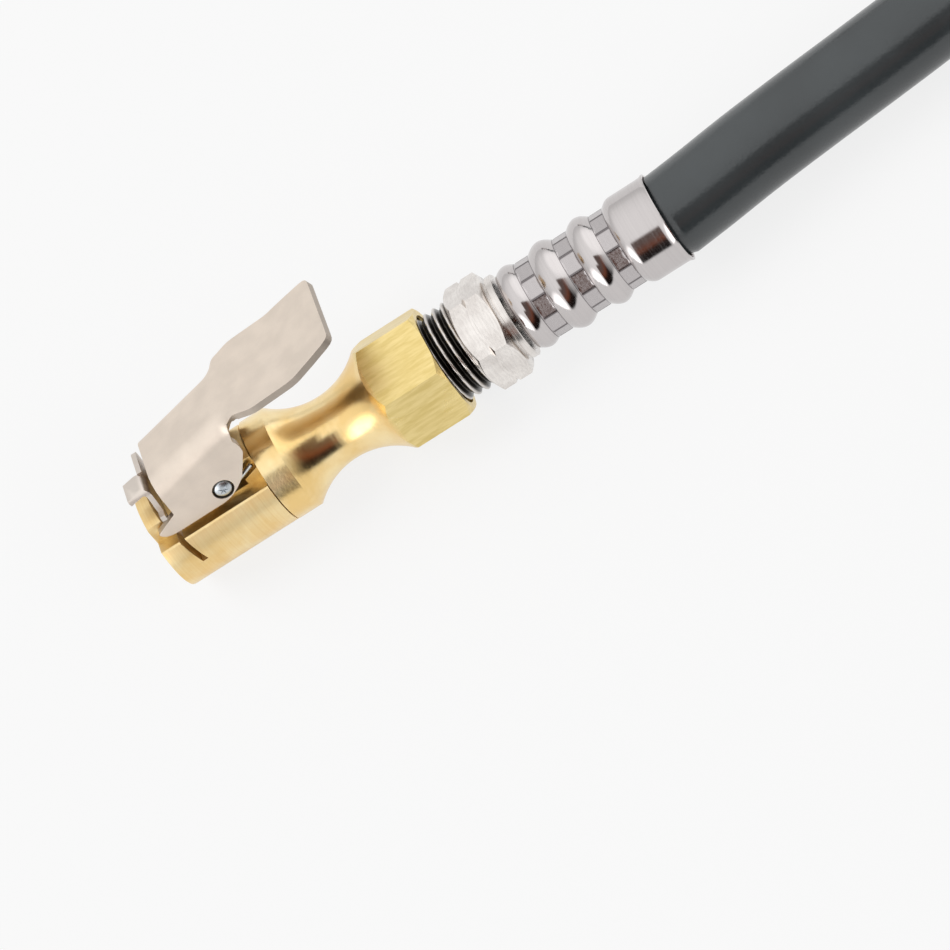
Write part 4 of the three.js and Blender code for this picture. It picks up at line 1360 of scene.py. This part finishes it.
# %% [markdown]
# ## Floor and light
# A pale floor under plain studio light. The floor shows the camera and the metals a near white,
# and still takes the object's shadow, because part of its brightness is lit and part its own.


# %% Floor
FLOOR_GLOW = 0.805
FLOOR_LIT = 0.14
FLOOR_MIRRORED = 0.9


def floor():
    mesh = bpy.data.meshes.new("floor")
    reach = 4.0
    corners = [(-reach, -reach, 0), (reach, -reach, 0), (reach, reach, 0), (-reach, reach, 0)]
    mesh.from_pydata(corners, [], [(0, 1, 2, 3)])
    made = in_scene("floor", mesh)
    made.location.z = -0.00005
    material, tree = material_tree("white_sweep")
    tree.nodes.clear()
    path = add(tree, "ShaderNodeLightPath").outputs
    mirrored = maths(tree, "MULTIPLY", path["Is Glossy Ray"], FLOOR_MIRRORED)
    seen = maths(tree, "MAXIMUM", path["Is Camera Ray"], mirrored)
    seen = maths(tree, "MAXIMUM", seen, path["Is Transmission Ray"])
    strength = spread(tree, seen, 0.0, 1.0, 0.0, FLOOR_GLOW)
    glow = add(tree, "ShaderNodeEmission", Color=grey(1.0), Strength=strength)
    tint = blended(tree, seen, grey(0.75), grey(FLOOR_LIT))
    matt = add(tree, "ShaderNodeBsdfDiffuse", Color=tint)
    both = add(tree, "ShaderNodeAddShader", i0=glow.outputs[0], i1=matt.outputs[0])
    add(tree, "ShaderNodeOutputMaterial", Surface=both.outputs[0])
    mesh.materials.append(material)


floor()


# %% Light
def softbox(name, place, size, power):
    """A square lamp that shines on the origin and isn't mirrored in metal."""
    data = bpy.data.lights.new(name, "AREA")
    data.shape = "SQUARE"
    data.size = size
    data.energy = power
    lamp = in_scene(name, data)
    lamp.location = place
    lamp.visible_glossy = False
    lamp.rotation_euler = (-Vector(place)).to_track_quat("-Z", "Y").to_euler()


softbox("key", (-2.25, 1.35, 2.85), 3.0, 99)
softbox("fill", (2.7, -2.1, 2.4), 2.4, 30)

# %% [markdown]
# Polished metal shows the room. Here it is white all round and a little dimmer towards the
# horizon, with two bright windows and one dark figure, such as a photographer makes, that holds
# an arm out in front of the chuck. Only reflections see them: the background stays plain.


# %% World
FIGURE_TOP = 27.5
FIGURE_LEFT = -0.21
FIGURE_RIGHT = 0.86
ARM_TOP = 5.0
ARM_LEFT = 0.2
WINDOWS = [((-0.73, -0.66, 0.17), 2.2, 0.84), ((0.70, 0.53, 0.49), 1.4, 0.7)]


def world():
    made = bpy.data.worlds.new("studio")
    made.use_nodes = True
    tree = made.node_tree
    tree.nodes.clear()
    way = add(tree, "ShaderNodeTexCoord").outputs["Generated"]

    def towards(x, y, z, low, high):
        """0 to 1 as a direction turns towards (x, y, z)."""
        aim = Vector((x, y, z)).normalized()
        dot = add(tree, "ShaderNodeVectorMath", {"operation": "DOT_PRODUCT"}, i0=way, i1=aim)
        return add(
            tree, "ShaderNodeMapRange", {"interpolation_type": "SMOOTHSTEP"},
            i0=dot.outputs["Value"], i1=low, i2=high, i3=0.0, i4=1.0,
        ).outputs[0]

    def both(first, second):
        return maths(tree, "MULTIPLY", first, second)

    right = towards(-1, 0, 0, -FIGURE_RIGHT - 0.15, -FIGURE_RIGHT + 0.15)
    over_floor = towards(0, 0, 1, 0.0, 0.1)

    def dark(front, left, soft):
        """The dark region in front, between its left edge and the figure's right one."""
        between = both(towards(1, 0, 0, left - soft, left + soft), right)
        return both(both(front, between), over_floor)

    tip = math.radians(FIGURE_TOP)
    below_head = towards(0, -math.cos(tip), -math.sin(tip), -0.05, 0.1)
    below_arm = towards(0, -1, -math.tan(math.radians(ARM_TOP)), -0.02, 0.06)
    body = dark(below_head, FIGURE_LEFT, 0.05)
    figure = maths(tree, "MAXIMUM", body, dark(below_arm, ARM_LEFT, 0.08))
    height = towards(0, 0, 1, 0.0, 1.0)
    room = ramp(tree, height, [(0.0, grey(0.74)), (0.4, grey(0.98)), (1.0, grey(1.12))])
    for way_to, power, edge in WINDOWS:
        room = blended(tree, towards(*way_to, edge, 0.96), room, grey(power))
    dress = ramp(tree, height, [
        (0.0, colour("#100E0E")), (0.3, colour("#2A1C18")), (0.55, colour("#7A4A38")),
        (0.85, colour("#6A5A55")),
    ])
    seen = blended(tree, figure, room, dress)
    path = add(tree, "ShaderNodeLightPath").outputs
    seen = blended(tree, path["Is Glossy Ray"], grey(0.5), seen)
    seen = blended(tree, path["Is Camera Ray"], seen, grey(0.955))
    back = add(tree, "ShaderNodeBackground", Color=seen, Strength=1.0)
    add(tree, "ShaderNodeOutputWorld", Surface=back.outputs[0])
    bpy.context.scene.world = made


world()
bpy.context.scene.view_settings.view_transform = "Standard"
